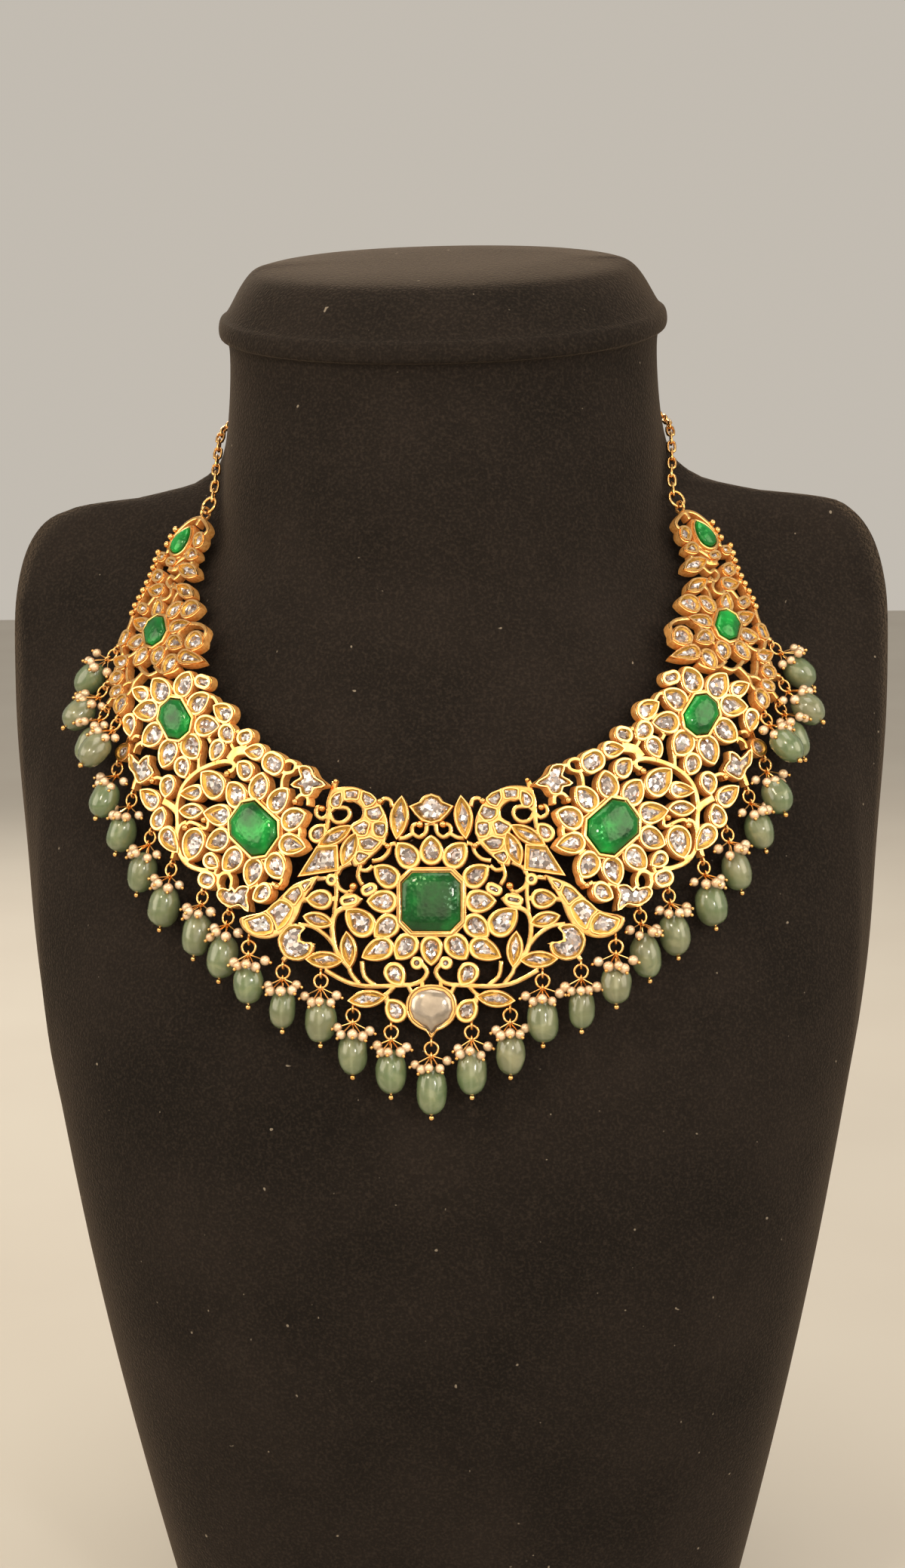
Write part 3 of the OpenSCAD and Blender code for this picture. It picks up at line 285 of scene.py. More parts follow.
# The gold plates: five plates of 22 carat gold, edge to edge, sawn and pierced from sheet, with vine
# wires and seats for the stones. Each is worked on the bench in millimetres, face up, and then put in
# its place; the left ones mirror the right.
def plate_place(origin, pitch, yaw):
    """From the bench in millimetres to the plate's place on the neck in metres."""
    return (Matrix.Translation(Vector(origin) / 1000) @ Matrix.Rotation(math.radians(yaw), 4, "Z")
            @ Matrix.Rotation(math.radians(90 - pitch), 4, "X") @ Matrix.Scale(0.001, 4))


PLACES = {
    "centre": plate_place((0, -57, 200), 14, 0),
    "side": plate_place((39, -49, 214.5), 17.2, 28),
    "upper": plate_place((64.5, -16.5, 254.5), 32, 38),
}
PLATE_NODES = {"centre": "centre_plaque", "side": "side_plaque_right", "upper": "upper_plaque_right"}
MIRROR_X = Matrix.Scale(-1, 4, (1, 0, 0))
# Corners closer than this on the bench are one
BENCH_APART = 0.004
# A level face's normal points up by this at the least, and a wall's at the most
LEVEL_UP, WALL_UP = 0.99, 0.3
# Round of the polished upper edges, and how far a sawn wall's normal may lean towards the face
EDGE_ROUND, SAWN_LEAN = 0.2, 0.2


def top_edges(mesh):
    """Edges where a face that looks up ends over a wall."""
    beside = {}
    for face in mesh.polygons:
        for key in face.edge_keys:
            beside.setdefault(key, []).append(face)
    found = []
    for edge in mesh.edges:
        faces = beside.get(tuple(sorted(edge.vertices)), [])
        if len(faces) != 2:
            continue
        flat, wall = sorted(faces, key=lambda face: -face.normal.z)
        below = wall.center.z < flat.center.z - 0.01
        if flat.normal.z > LEVEL_UP and abs(wall.normal.z) < WALL_UP and below:
            found.append(edge.index)
    return found


def put_in_place(piece, plate, slot, material, *nodes):
    """Moves a piece from the bench to its plate; a right one gets a mirrored left fellow."""
    piece.data.transform(PLACES[plate])
    if plate != "centre":
        left_piece = bpy.data.objects.new(piece.name.replace("right", "left"), piece.data.copy())
        bpy.context.scene.collection.objects.link(left_piece)
        left_piece.data.transform(MIRROR_X)
        left_piece.data.flip_normals()
        declare(left_piece, slot, material, *[node.replace("right", "left") for node in nodes])
    declare(piece, slot, material, *nodes)


# Polished 22 carat gold: a deep warm yellow metal, soft with fine wear that blurs its highlights
gold, tree, shader, place = new_material("polished_gold")
wear = add_node(tree, "ShaderNodeTexNoise", {"Vector": place, "Scale": 420.0, "Detail": 5.0})
tone = add_node(tree, "ShaderNodeValToRGB", {"Fac": wear.outputs["Fac"]})
set_stops(tone, [(0.35, "#E2A860"), (0.65, "#F4C684")])
tree.links.new(tone.outputs["Color"], shader.inputs["Base Color"])
rub = add_node(tree, "ShaderNodeMapRange", {"Value": wear.outputs["Fac"], "To Min": 0.12, "To Max": 0.3})
tree.links.new(rub.outputs["Result"], shader.inputs["Roughness"])
hammer = add_node(tree, "ShaderNodeTexNoise", {"Vector": place, "Scale": 900.0, "Detail": 2.0})
bump = add_node(tree, "ShaderNodeBump", {"Height": hammer.outputs["Fac"], "Strength": 0.35,
                                         "Distance": 0.0001})
tree.links.new(bump.outputs["Normal"], shader.inputs["Normal"])
shader.inputs["Metallic"].default_value = 1.0

# Sawn gold: the walls of the piercings are left matt by the saw. Their deep orange colour is painted
# reflection, standing for gold that shines on gold in the narrow gaps
sawn_gold, tree, shader, place = new_material("sawn_gold_walls")
strokes = add_node(tree, "ShaderNodeTexNoise", {"Vector": place, "Scale": 1500.0, "Detail": 2.0})
tone = add_node(tree, "ShaderNodeValToRGB", {"Fac": strokes.outputs["Fac"]})
set_stops(tone, [(0.35, "#CE8C42"), (0.65, "#EAB26A")])
tree.links.new(tone.outputs["Color"], shader.inputs["Base Color"])
shader.inputs["Metallic"].default_value = 0.5
shader.inputs["Roughness"].default_value = 0.5

for plate, node in PLATE_NODES.items():
    sheet = copy_of(node, "gold_" + node)
    sheet.data.transform(PLACES[plate].inverted())
    merge(sheet, BENCH_APART)
    pick(sheet, "edges", top_edges(sheet.data))
    bpy.ops.mesh.bevel(offset=EDGE_ROUND, offset_type="OFFSET", segments=2, profile=0.5,
                       clamp_overlap=False, loop_slide=False)
    done()
    bpy.ops.object.shade_smooth_by_angle(angle=math.radians(40))
    put_in_place(sheet, plate, "gold", gold, node)
    for name in sorted({sheet.name, sheet.name.replace("right", "left")}):
        walls = bpy.data.objects[name].data
        walls.materials.append(sawn_gold)
        face_on = (PLACES[plate].to_3x3() @ Vector((0, 0, 1))).normalized()
        if "left" in name:
            face_on.x = -face_on.x
        for face in walls.polygons:
            face.material_index = 1 if abs(face.normal.dot(face_on)) < SAWN_LEAN else 0


# The grains: little balls of melted gold, soldered on where the scrolls end and in a row along
# the outer edge of the upper plates.
# Each grain's x, y and width before it melts
GRAINS = {
    "centre": [(2.5, 16.6, 1.4), (11, 21.6, 1.3), (23.6, 20.2, 1.3), (16.8, 3.4, 1.5), (9.4, 12, 1.2),
               (20.6, 26, 1)],
    "side": [(9.2, 11.6, 1.4), (18.4, -1.1, 1.4), (-9.9, 6.8, 1.3), (13.6, 1, 1.3), (29.5, 8.6, 1.3),
             (-8.4, -11.8, 1.2)],
    "upper": [(11, 20.4, 1.5), (10.9, 18.4, 1.5), (10.6, 16.4, 1.5), (10.5, 14.4, 1.5), (10.6, 12.4, 1.5),
              (10.8, 10.4, 1.5), (11.1, 8.4, 1.5), (11.4, 6.4, 1.5), (11.3, 4.4, 1.5), (9.2, 22.6, 1.5),
              (9, 24.6, 1.5), (8.4, 26.6, 1.5)],
}
# A melted grain's radius as a share of that width, and its middle's height over the face
GRAIN_SPREAD, GRAIN_MIDDLE = 0.55, 0.05
SIDE_NAMES = {"centre": "centre", "side": "side_right", "upper": "upper_right"}


def ball(radius, centre, segments, rings):
    """A ball, modelled on the bench."""
    bpy.ops.object.select_all(action="DESELECT")
    bpy.ops.mesh.primitive_uv_sphere_add(segments=segments, ring_count=rings, radius=radius)
    made = bpy.context.active_object
    made.data.transform(Matrix.Translation(centre))
    return made


def join(pieces, name):
    """One piece of several, with its doubles left apart."""
    take(pieces[0])
    for piece in pieces:
        piece.select_set(True)
    bpy.ops.object.join()
    bpy.context.active_object.name = name
    bpy.context.active_object.data.name = name
    return bpy.context.active_object


for plate, rows in GRAINS.items():
    if plate == "centre":
        rows = rows + [(-x, y, wide) for x, y, wide in rows]
    grains = join([ball(wide * GRAIN_SPREAD, (x, y, GRAIN_MIDDLE), 14, 8) for x, y, wide in rows],
                  "gold_grains_" + SIDE_NAMES[plate])
    bpy.ops.object.shade_smooth()
    put_in_place(grains, plate, "gold", gold)


# The stones' rims: a strip of pure gold foil is pressed down round every clear stone and burnished
# to a bright round edge that stands a little over the plate. The birds and the horns below them
# have cells of their own, wall to wall on their raised gold fields.
# Middles of the large seats, which have no foil rim
BIG_STONES = {
    "centre": [(0, 0)],
    "side": [(-0.4, 0.1), (25.5, 22.9)],
    "upper": [(0.6, 0.2), (4.4, 23.6)],
}
BASE_CRYSTAL = (0, -23)
# Corners of the cells on the right half of the centre plate: the bird's from its head down its
# neck to its breast, then the horn's from its root to its mouth
BIRD_CELLS = [
    [(19.3, 23.7), (20.7, 23.2), (21.6, 22.2), (21.7, 21), (20.9, 20.2), (19.8, 20.3), (19.2, 21.6)],
    [(15.4, 24), (17, 24.3), (18.7, 24), (18.6, 22.1), (17, 22.2), (15.8, 22)],
    [(11.8, 21.9), (13, 23.1), (14.8, 23.8), (15.1, 22.2), (14.1, 20.4), (12.6, 20.9)],
    [(10.2, 18.8), (11.1, 20.7), (12.4, 20.2), (14.1, 19.8), (14.1, 18.5), (13, 17.5), (11.4, 17.4)],
    [(9.8, 16.9), (11, 17.2), (12.4, 16.9), (12.5, 15.2), (11.9, 14.1), (10.4, 13.8), (9.7, 15)],
    [(13.2, 16.8), (14.4, 17.5), (16, 16.7), (17.1, 16.1), (16.4, 14.9), (15.4, 14.2), (14, 14.3)],
    [(10.8, 12.9), (12, 13.4), (13, 14), (14.2, 13.6), (15.6, 13.5), (15.5, 12.2), (14.6, 11.1),
     (12.6, 11)],
    [(13.1, 10), (14.6, 10.6), (15.8, 10.8), (16.4, 9.4), (15.6, 8.2), (14.4, 8.8)],
]
HORN_CELLS = [
    [(25.6, 4.6), (26.9, 4.5), (28, 3.8), (27.3, 2.4)],
    [(28.4, 3.5), (30.2, 2.8), (31.8, 1.1), (30.4, 0.3), (29.4, -0.7), (27.7, 1.9)],
    [(30.7, -0.1), (32.4, 0.5), (33.8, -0.4), (35.4, -2), (34.2, -3), (33.5, -4.5), (33, -5.9),
     (31.5, -4.9), (30.3, -3.1), (29.7, -1.3)],
    [(35.8, -2.4), (38, -3.2), (40.1, -3.9), (39.4, -5.7), (37.8, -6.7), (36, -6.9), (34.2, -6.4),
     (34, -4.8), (34.6, -3.4)],
]
# The CAD's own seats under those cells
COVERED_SEATS = [(13.6, 21.8), (17.3, 23), (20.8, 21.7), (12.3, 18.7), (10.9, 15.5), (14.9, 15.6),
                 (13.1, 12.3), (15.3, 9.3), (26.9, 3.4), (29.5, 1.1), (32.4, -2.9), (36.7, -4.7)]
# A seat is left out if its middle is this near to a large stone's, the crystal's or a covered seat's
BIG_REACH, CRYSTAL_REACH, COVER_REACH = 2.5, 2, 1.3
# Height of the small seats' floors, and the round of a cell's corners
SEAT_FLOOR, CELL_CORNER = -1.3, 0.35


def seat_floors(plate, name):
    """The floors of a plate's small seats, one face each, raised to the plate's face."""
    piece = copy_of(PLATE_NODES[plate], name)
    piece.data.transform(PLACES[plate].inverted())
    merge(piece, BENCH_APART, flat=1)
    mesh = piece.data
    left_out = [(Vector(spot), BIG_REACH) for spot in BIG_STONES[plate]]
    if plate == "centre":
        left_out.append((Vector(BASE_CRYSTAL), CRYSTAL_REACH))
        left_out += [(Vector((side * x, y)), COVER_REACH) for x, y in COVERED_SEATS for side in (1, -1)]
    other = []
    for face in mesh.polygons:
        near = any((face.center.xy - spot).length < reach for spot, reach in left_out)
        if face.normal.z < LEVEL_UP or abs(face.center.z - SEAT_FLOOR) > 0.02 or near:
            other.append(face.index)
    pick(piece, "polygons", other)
    bpy.ops.mesh.delete(type="FACE")
    bpy.ops.mesh.select_all(action="SELECT")
    bpy.ops.mesh.dissolve_limited(angle_limit=math.radians(2))
    done()
    mesh.transform(Matrix.Translation((0, 0, -SEAT_FLOOR)))
    return piece


def cell_floors(name):
    """The cells of both birds and horns, one face each, on the centre plate's face."""
    cells = []
    for corners in BIRD_CELLS + HORN_CELLS:
        for side in (1, -1):
            bpy.ops.object.select_all(action="DESELECT")
            bpy.ops.mesh.primitive_circle_add(vertices=len(corners), radius=1, fill_type="NGON")
            cell = bpy.context.active_object
            way_round = corners if side > 0 else corners[::-1]
            for vertex, (x, y) in zip(cell.data.vertices, way_round):
                vertex.co = (side * x, y, 0)
            bpy.ops.object.mode_set(mode="EDIT")
            bpy.ops.mesh.select_all(action="SELECT")
            bpy.ops.mesh.bevel(offset=CELL_CORNER, offset_type="OFFSET", segments=3, affect="VERTICES")
            done()
            if cell.data.polygons[0].normal.z < 0:
                cell.data.flip_normals()
            cells.append(cell)
    return join(cells, name)


# Round of a rim's crest, as a share of its width
CREST_ROUND = 0.43


def make_rims(piece, low, high, wide):
    """Raises a wall round every face, gives it thickness outwards and rounds its crest."""
    mesh = piece.data
    mesh.transform(Matrix.Translation((0, 0, low)))
    pick(piece, "polygons", range(len(mesh.polygons)))
    bpy.ops.mesh.extrude_region_move(TRANSFORM_OT_translate={"value": (0, 0, high - low)})
    done()
    pick(piece, "polygons", [f.index for f in mesh.polygons if abs(f.normal.z) > 0.5])
    bpy.ops.mesh.delete(type="ONLY_FACE")
    bpy.ops.mesh.select_all(action="SELECT")
    bpy.ops.mesh.normals_make_consistent(inside=False)
    done()
    finish_with(piece, "SOLIDIFY", thickness=wide, offset=1.0, use_even_offset=True, thickness_clamp=1.5)
    level = {}
    for face in mesh.polygons:
        for key in face.edge_keys:
            level.setdefault(key, []).append(abs(face.normal.z))
    crest = []
    for edge in mesh.edges:
        at_top = all(abs(mesh.vertices[v].co.z - high) < 0.02 for v in edge.vertices)
        if at_top and min(level[tuple(sorted(edge.vertices))]) < 0.5:
            crest.append(edge.index)
    pick(piece, "edges", crest)
    bpy.ops.mesh.bevel(offset=wide * CREST_ROUND, offset_type="OFFSET", segments=3, profile=0.5,
                       clamp_overlap=False)
    done()
    bpy.ops.object.shade_smooth_by_angle(angle=math.radians(50))


# Burnished pure gold: yellower and smoother than the plate; its lighter colour is partly painted highlight
bright_gold, tree, shader, place = new_material("burnished_pure_gold")
strokes = add_node(tree, "ShaderNodeTexNoise", {"Vector": place, "Scale": 700.0, "Detail": 3.0})
tone = add_node(tree, "ShaderNodeValToRGB", {"Fac": strokes.outputs["Fac"]})
set_stops(tone, [(0.35, "#F9C37C"), (0.65, "#FFD494")])
tree.links.new(tone.outputs["Color"], shader.inputs["Base Color"])
bump = add_node(tree, "ShaderNodeBump", {"Height": strokes.outputs["Fac"], "Strength": 0.4,
                                         "Distance": 0.0001})
tree.links.new(bump.outputs["Normal"], shader.inputs["Normal"])
shader.inputs["Metallic"].default_value = 1.0
shader.inputs["Roughness"].default_value = 0.18

# Lower and upper ends over the plate's face and the width: of the rims, and of the raised cells' walls
RIM_LOW, RIM_HIGH, RIM_WIDE = -0.3, 0.36, 0.72
CELL_LOW, CELL_HIGH, CELL_WALL = -0.1, 0.55, 0.46
for plate in PLACES:
    rims = seat_floors(plate, "stone_rims_" + SIDE_NAMES[plate])
    make_rims(rims, RIM_LOW, RIM_HIGH, RIM_WIDE)
    put_in_place(rims, plate, "gold", bright_gold)
walls = cell_floors("bird_cell_walls")
make_rims(walls, CELL_LOW, CELL_HIGH, CELL_WALL)
put_in_place(walls, "centre", "gold", bright_gold)


# The wells: between rim and stone the foil slopes down in a soft matt bed that looks olive, because
# it is seen half in its own shade.
# An outline is hollow if its corners turn back by more than this in all, in radians
TURNED_BACK = 0.6
# Heights closer than this are the same
SAME_HEIGHT = 0.004


def is_hollow(face, mesh):
    """Whether a seat's outline turns back on itself, as a comma's or a tulip's does."""
    corners = [mesh.vertices[v].co for v in face.vertices]
    back = 0.0
    for a, b, c in zip(corners, corners[1:] + corners[:1], corners[2:] + corners[:2]):
        first, second = b - a, c - b
        if first.cross(second).z < 0:
            back += first.angle(second, 0.0)
    return back > TURNED_BACK


def middle(corners):
    """The middle of a flat outline's area."""
    area, spot = 0.0, Vector((0, 0, 0))
    for a, b in zip(corners, corners[1:] + corners[:1]):
        part = a.x * b.y - b.x * a.y
        area += part
        spot += (a + b) * part
    return Vector((spot.x / area / 3, spot.y / area / 3, corners[0].z))


def step_in(piece, at, keep, rise, hollow_keep=0):
    """Insets each face that lies level at a height: its copy is drawn in towards its middle."""
    mesh = piece.data
    pick(piece, "polygons", [f.index for f in mesh.polygons
                             if f.normal.z > 0.97 and abs(f.center.z - at) < SAME_HEIGHT])
    bpy.ops.mesh.inset(thickness=0.001, depth=0, use_individual=True)
    done()
    for face in mesh.polygons:
        if face.select:
            corners = [mesh.vertices[v].co.copy() for v in face.vertices]
            spot = middle(corners)
            share = hollow_keep if hollow_keep and is_hollow(face, mesh) else keep
            for v, corner in zip(face.vertices, corners):
                mesh.vertices[v].co = spot + (corner - spot) * share + Vector((0, 0, rise))


# Gold foil: a matt, softly creased metal, coloured a darker and greener yellow than the plates as painted
# shade
foil, tree, shader, place = new_material("matt_gold_foil")
creases = add_node(tree, "ShaderNodeTexNoise", {"Vector": place, "Scale": 1100.0, "Detail": 3.0})
tone = add_node(tree, "ShaderNodeValToRGB", {"Fac": creases.outputs["Fac"]})
set_stops(tone, [(0.3, "#B58C3C"), (0.7, "#DCB05C")])
tree.links.new(tone.outputs["Color"], shader.inputs["Base Color"])
bump = add_node(tree, "ShaderNodeBump", {"Height": creases.outputs["Fac"], "Strength": 0.5,
                                         "Distance": 0.0001})
tree.links.new(bump.outputs["Normal"], shader.inputs["Normal"])
shader.inputs["Metallic"].default_value = 1.0
shader.inputs["Roughness"].default_value = 0.45

# Height of a well's upper edge, its slope down to the stone, and the part of the width that the
# stone fills
WELL_TOP, WELL_SLOPE, WELL_KEEP = -0.06, -0.34, 0.76
# A hollow outline is drawn in less, so that it doesn't cross itself
HOLLOW_KEEP = 0.88
CELL_TOP, CELL_SLOPE = 0.36, -0.26
# The foil is drawn thicker than real foil, so that it closes
FOIL_THICK = 0.12


def make_wells(piece, top, slope):
    """Sinks the middle of every face and gives the foil its thickness."""
    piece.data.transform(Matrix.Translation((0, 0, top)))
    step_in(piece, top, WELL_KEEP, slope, HOLLOW_KEEP)
    finish_with(piece, "SOLIDIFY", thickness=FOIL_THICK, offset=-1.0)
    bpy.ops.object.shade_smooth_by_angle(angle=math.radians(25))


for plate in PLACES:
    wells = seat_floors(plate, "foil_wells_" + SIDE_NAMES[plate])
    make_wells(wells, WELL_TOP, WELL_SLOPE)
    put_in_place(wells, plate, "gold", foil)
beds = cell_floors("bird_cell_beds")
make_wells(beds, CELL_TOP, CELL_SLOPE)
put_in_place(beds, "centre", "gold", foil)


# The clear stones: flat old-cut moissanites, colourless with a grey and lilac play, each with a few
# uneven facets over bright foil, which glitter where they catch a lamp.
sparkle, tree, shader, place = new_material("foiled_clear_stone")
facets = add_node(tree, "ShaderNodeTexVoronoi", {"Vector": place, "Scale": 1300.0, "Randomness": 1.0})
cell = add_node(tree, "ShaderNodeSeparateColor", {"Color": facets.outputs["Color"]})
# Each facet cell gets its own grey, up to white; the lightest cells are painted glints
facet_tone_painted_glints = add_node(tree, "ShaderNodeValToRGB", {"Fac": cell.outputs["Red"]})
set_stops(facet_tone_painted_glints, [(0.0, "#776A68"), (0.35, "#A0938F"), (0.7, "#D0C5C4"), (0.9, "#FFFFFF")])
tree.links.new(facet_tone_painted_glints.outputs["Color"], shader.inputs["Base Color"])
face_way = tree.nodes.new("ShaderNodeNewGeometry").outputs["Normal"]
lean = add_node(tree, "ShaderNodeVectorMath", {0: facets.outputs["Color"], 1: (0.5, 0.5, 0.5)},
                operation="SUBTRACT")
lean = add_node(tree, "ShaderNodeVectorMath", {0: lean.outputs["Vector"], "Scale": 0.9}, operation="SCALE")
tilted = add_node(tree, "ShaderNodeVectorMath", {0: face_way, 1: lean.outputs["Vector"]}, operation="ADD")
tilted = add_node(tree, "ShaderNodeVectorMath", {0: tilted.outputs["Vector"]}, operation="NORMALIZE")
tree.links.new(tilted.outputs["Vector"], shader.inputs["Normal"])
shader.inputs["Metallic"].default_value = 0.7
shader.inputs["Roughness"].default_value = 0.12
shader.inputs["IOR"].default_value = 2.3
shader.inputs["Coat Weight"].default_value = 0.6
shader.inputs["Coat Roughness"].default_value = 0.05


# A stone fills a little more than its well's floor. Its girdle's height, then the crown's and the
# table's shares of the width and heights
STONE_KEEP = WELL_KEEP + 0.04
GIRDLE_HIGH, CROWN_KEEP, CROWN_HIGH, TABLE_KEEP, TABLE_HIGH = 0.16, 0.72, 0.2, 0.6, 0.1


def make_stones(piece, top, slope):
    """Turns every face into a flat faceted stone on the floor of its well."""
    mesh = piece.data
    pick(piece, "polygons", [f.index for f in mesh.polygons if not is_hollow(f, mesh)])
    bpy.ops.mesh.dissolve_limited(angle_limit=math.radians(30))
    done()
    mesh.transform(Matrix.Translation((0, 0, top)))
    step_in(piece, top, STONE_KEEP, slope, HOLLOW_KEEP)
    floor = top + slope
    pick(piece, "polygons", [f.index for f in mesh.polygons if abs(f.center.z - floor) > SAME_HEIGHT])
    bpy.ops.mesh.delete(type="FACE")
    bpy.ops.mesh.select_all(action="SELECT")
    bpy.ops.mesh.extrude_region_move(TRANSFORM_OT_translate={"value": (0, 0, GIRDLE_HIGH)})
    done()
    pick(piece, "polygons", range(len(mesh.polygons)))
    bpy.ops.mesh.normals_make_consistent(inside=False)
    done()
    step_in(piece, floor + GIRDLE_HIGH, CROWN_KEEP, CROWN_HIGH, HOLLOW_KEEP)
    step_in(piece, floor + GIRDLE_HIGH + CROWN_HIGH, TABLE_KEEP, TABLE_HIGH, HOLLOW_KEEP)


STONE_NODES = {"centre": "centre_stones", "side": "side_stones_right", "upper": "upper_stones_right"}
cell_stones = cell_floors("bird_cell_stones")
make_stones(cell_stones, CELL_TOP, CELL_SLOPE)
for plate in PLACES:
    stones = seat_floors(plate, "clear_" + STONE_NODES[plate])
    make_stones(stones, WELL_TOP, WELL_SLOPE)
    if plate == "centre":
        stones = join([stones, cell_stones], "clear_centre_stones")
    put_in_place(stones, plate, "clear_stone", sparkle, STONE_NODES[plate])


# The emeralds: smooth domed stones with cut corners, held by a plain collar. They are deep green,
# with mossy clouds inside that glint where a lamp reaches them, under a glassy polish.
emerald, tree, shader, place = new_material("polished_emerald")
clouds = add_node(tree, "ShaderNodeTexNoise", {"Vector": place, "Scale": 170.0, "Detail": 6.0})
depth_tone = add_node(tree, "ShaderNodeValToRGB", {"Fac": clouds.outputs["Fac"]})
set_stops(depth_tone, [(0.3, "#002C0A"), (0.5, "#004E18"), (0.7, "#007428")])
# The stones are coloured lighter the further they lie from the middle
from_middle = add_node(tree, "ShaderNodeVectorMath", {0: place, 1: (1, 0, 0)}, operation="MULTIPLY")
from_middle = add_node(tree, "ShaderNodeVectorMath", {0: from_middle.outputs["Vector"]},
                       operation="LENGTH")
lighter_outwards = add_node(tree, "ShaderNodeMapRange", {"Value": from_middle.outputs["Value"],
                                                  "From Min": 0.01, "From Max": 0.035,
                                                  "To Min": 0.9, "To Max": 2.2})
lit = add_node(tree, "ShaderNodeVectorMath", {0: depth_tone.outputs["Color"],
                                              "Scale": lighter_outwards.outputs["Result"]}, operation="SCALE")
tree.links.new(lit.outputs["Vector"], shader.inputs["Base Color"])
moss = add_node(tree, "ShaderNodeTexVoronoi", {"Vector": place, "Scale": 1100.0})
inside = add_node(tree, "ShaderNodeBump", {"Height": moss.outputs["Distance"], "Strength": 0.2,
                                           "Distance": 0.0006})
tree.links.new(inside.outputs["Normal"], shader.inputs["Normal"])
shader.inputs["Metallic"].default_value = 0.25
shader.inputs["Roughness"].default_value = 0.22
shader.inputs["IOR"].default_value = 1.57
shader.inputs["Specular IOR Level"].default_value = 0.25
shader.inputs["Coat Weight"].default_value = 0.35
shader.inputs["Coat IOR"].default_value = 1.57
shader.inputs["Coat Roughness"].default_value = 0.03

# Rings of a domed top: their shares of the width. The first is the girdle.
DOME = (1, 0.975, 0.93, 0.86, 0.76, 0.62, 0.42, 0.2)
# Powers that round the dome's crown and its shoulder, and the tolerance in finding the girdle
CROWN_ROUND, SHOULDER_ROUND, GIRDLE_NEAR = 2.6, 0.55, 0.02


def make_dome(piece, girdle):
    """Takes the cut crown off a stone and raises a smooth domed top of the same height."""
    mesh = piece.data
    top = max(vertex.co.z for vertex in mesh.vertices)
    pick(piece, "polygons", [f.index for f in mesh.polygons if f.center.z > girdle + GIRDLE_NEAR])
    bpy.ops.mesh.delete(type="FACE")
    done()
    pick(piece, "edges", [e.index for e in mesh.edges
                          if min(mesh.vertices[v].co.z for v in e.vertices) > girdle - GIRDLE_NEAR])
    bpy.ops.mesh.edge_face_add()
    bpy.ops.mesh.select_all(action="SELECT")
    bpy.ops.mesh.normals_make_consistent(inside=False)
    done()
    at = girdle
    for wider, narrower in zip(DOME, DOME[1:]):
        swell = [(1 - share ** CROWN_ROUND) ** SHOULDER_ROUND for share in (wider, narrower)]
        rise = (top - girdle) * (swell[1] - swell[0])
        step_in(piece, at, narrower / wider, rise)
        at += rise
    take(piece)
    bpy.ops.object.shade_smooth_by_angle(angle=math.radians(55))


for node, plate in (
    ("centre_emerald", "centre"),
    ("side_emerald_right", "side"),
    ("second_emerald_right", "side"),
    ("octagon_emerald_right", "upper"),
    ("pear_emerald_right", "upper"),
):
    stone = copy_of(node, "polished_" + node)
    stone.data.transform(PLACES[plate].inverted())
    merge(stone, BENCH_APART, flat=1)
    make_dome(stone, girdle=0.7)
    put_in_place(stone, plate, "green_stone", emerald, node)


# The base crystal: one large clear stone with scalloped sides at the foot of the centre plate, domed
# and polished smooth over foil, so that it shows warm milky greys and a few soft bright spots.
crystal, tree, shader, place = new_material("polished_clear_crystal")
haze = add_node(tree, "ShaderNodeTexNoise", {"Vector": place, "Scale": 160.0, "Detail": 5.0})
milk = add_node(tree, "ShaderNodeValToRGB", {"Fac": haze.outputs["Fac"]})
set_stops(milk, [(0.3, "#7A6E60"), (0.5, "#A39686"), (0.7, "#CDC0AF")])
tree.links.new(milk.outputs["Color"], shader.inputs["Base Color"])
crinkles = add_node(tree, "ShaderNodeTexVoronoi", {"Vector": place, "Scale": 500.0})
under = add_node(tree, "ShaderNodeBump", {"Height": crinkles.outputs["Distance"], "Strength": 0.15,
                                          "Distance": 0.0005})
tree.links.new(under.outputs["Normal"], shader.inputs["Normal"])
shader.inputs["Metallic"].default_value = 0.6
shader.inputs["Roughness"].default_value = 0.22
shader.inputs["IOR"].default_value = 1.8
shader.inputs["Coat Weight"].default_value = 0.8
shader.inputs["Coat Roughness"].default_value = 0.04

lobed = copy_of("base_crystal", "clear_base_crystal")
lobed.data.transform(PLACES["centre"].inverted())
merge(lobed, BENCH_APART, flat=1)
make_dome(lobed, girdle=0.1)
put_in_place(lobed, "centre", "clear_stone", crystal, "base_crystal")


# The drops: beads of pale green beryl, tumbled rather than cut, so that each is a slightly uneven
# oval, on a gold pin that hangs from a jump ring. The stone is cloudy and lets light through.
beryl, tree, shader, place = new_material("tumbled_green_beryl")
veins = add_node(tree, "ShaderNodeTexNoise", {"Vector": place, "Scale": 260.0, "Detail": 7.0,
                                              "Distortion": 0.8})
vein_tone = add_node(tree, "ShaderNodeValToRGB", {"Fac": veins.outputs["Fac"]})
set_stops(vein_tone, [(0.3, "#505C3C"), (0.5, "#697352"), (0.68, "#8F9370")])
# One bead is greyer or yellower than the next
batch = add_node(tree, "ShaderNodeTexNoise", {"Vector": place, "Scale": 70.0, "Detail": 0.0})
batch_tone = add_node(tree, "ShaderNodeValToRGB", {"Fac": batch.outputs["Fac"]})
set_stops(batch_tone, [(0.35, "#868065"), (0.65, "#627A52")])
body = add_node(tree, "ShaderNodeMix", {"Factor": 0.45, "A": vein_tone.outputs["Color"],
                                        "B": batch_tone.outputs["Color"]}, data_type="RGBA")
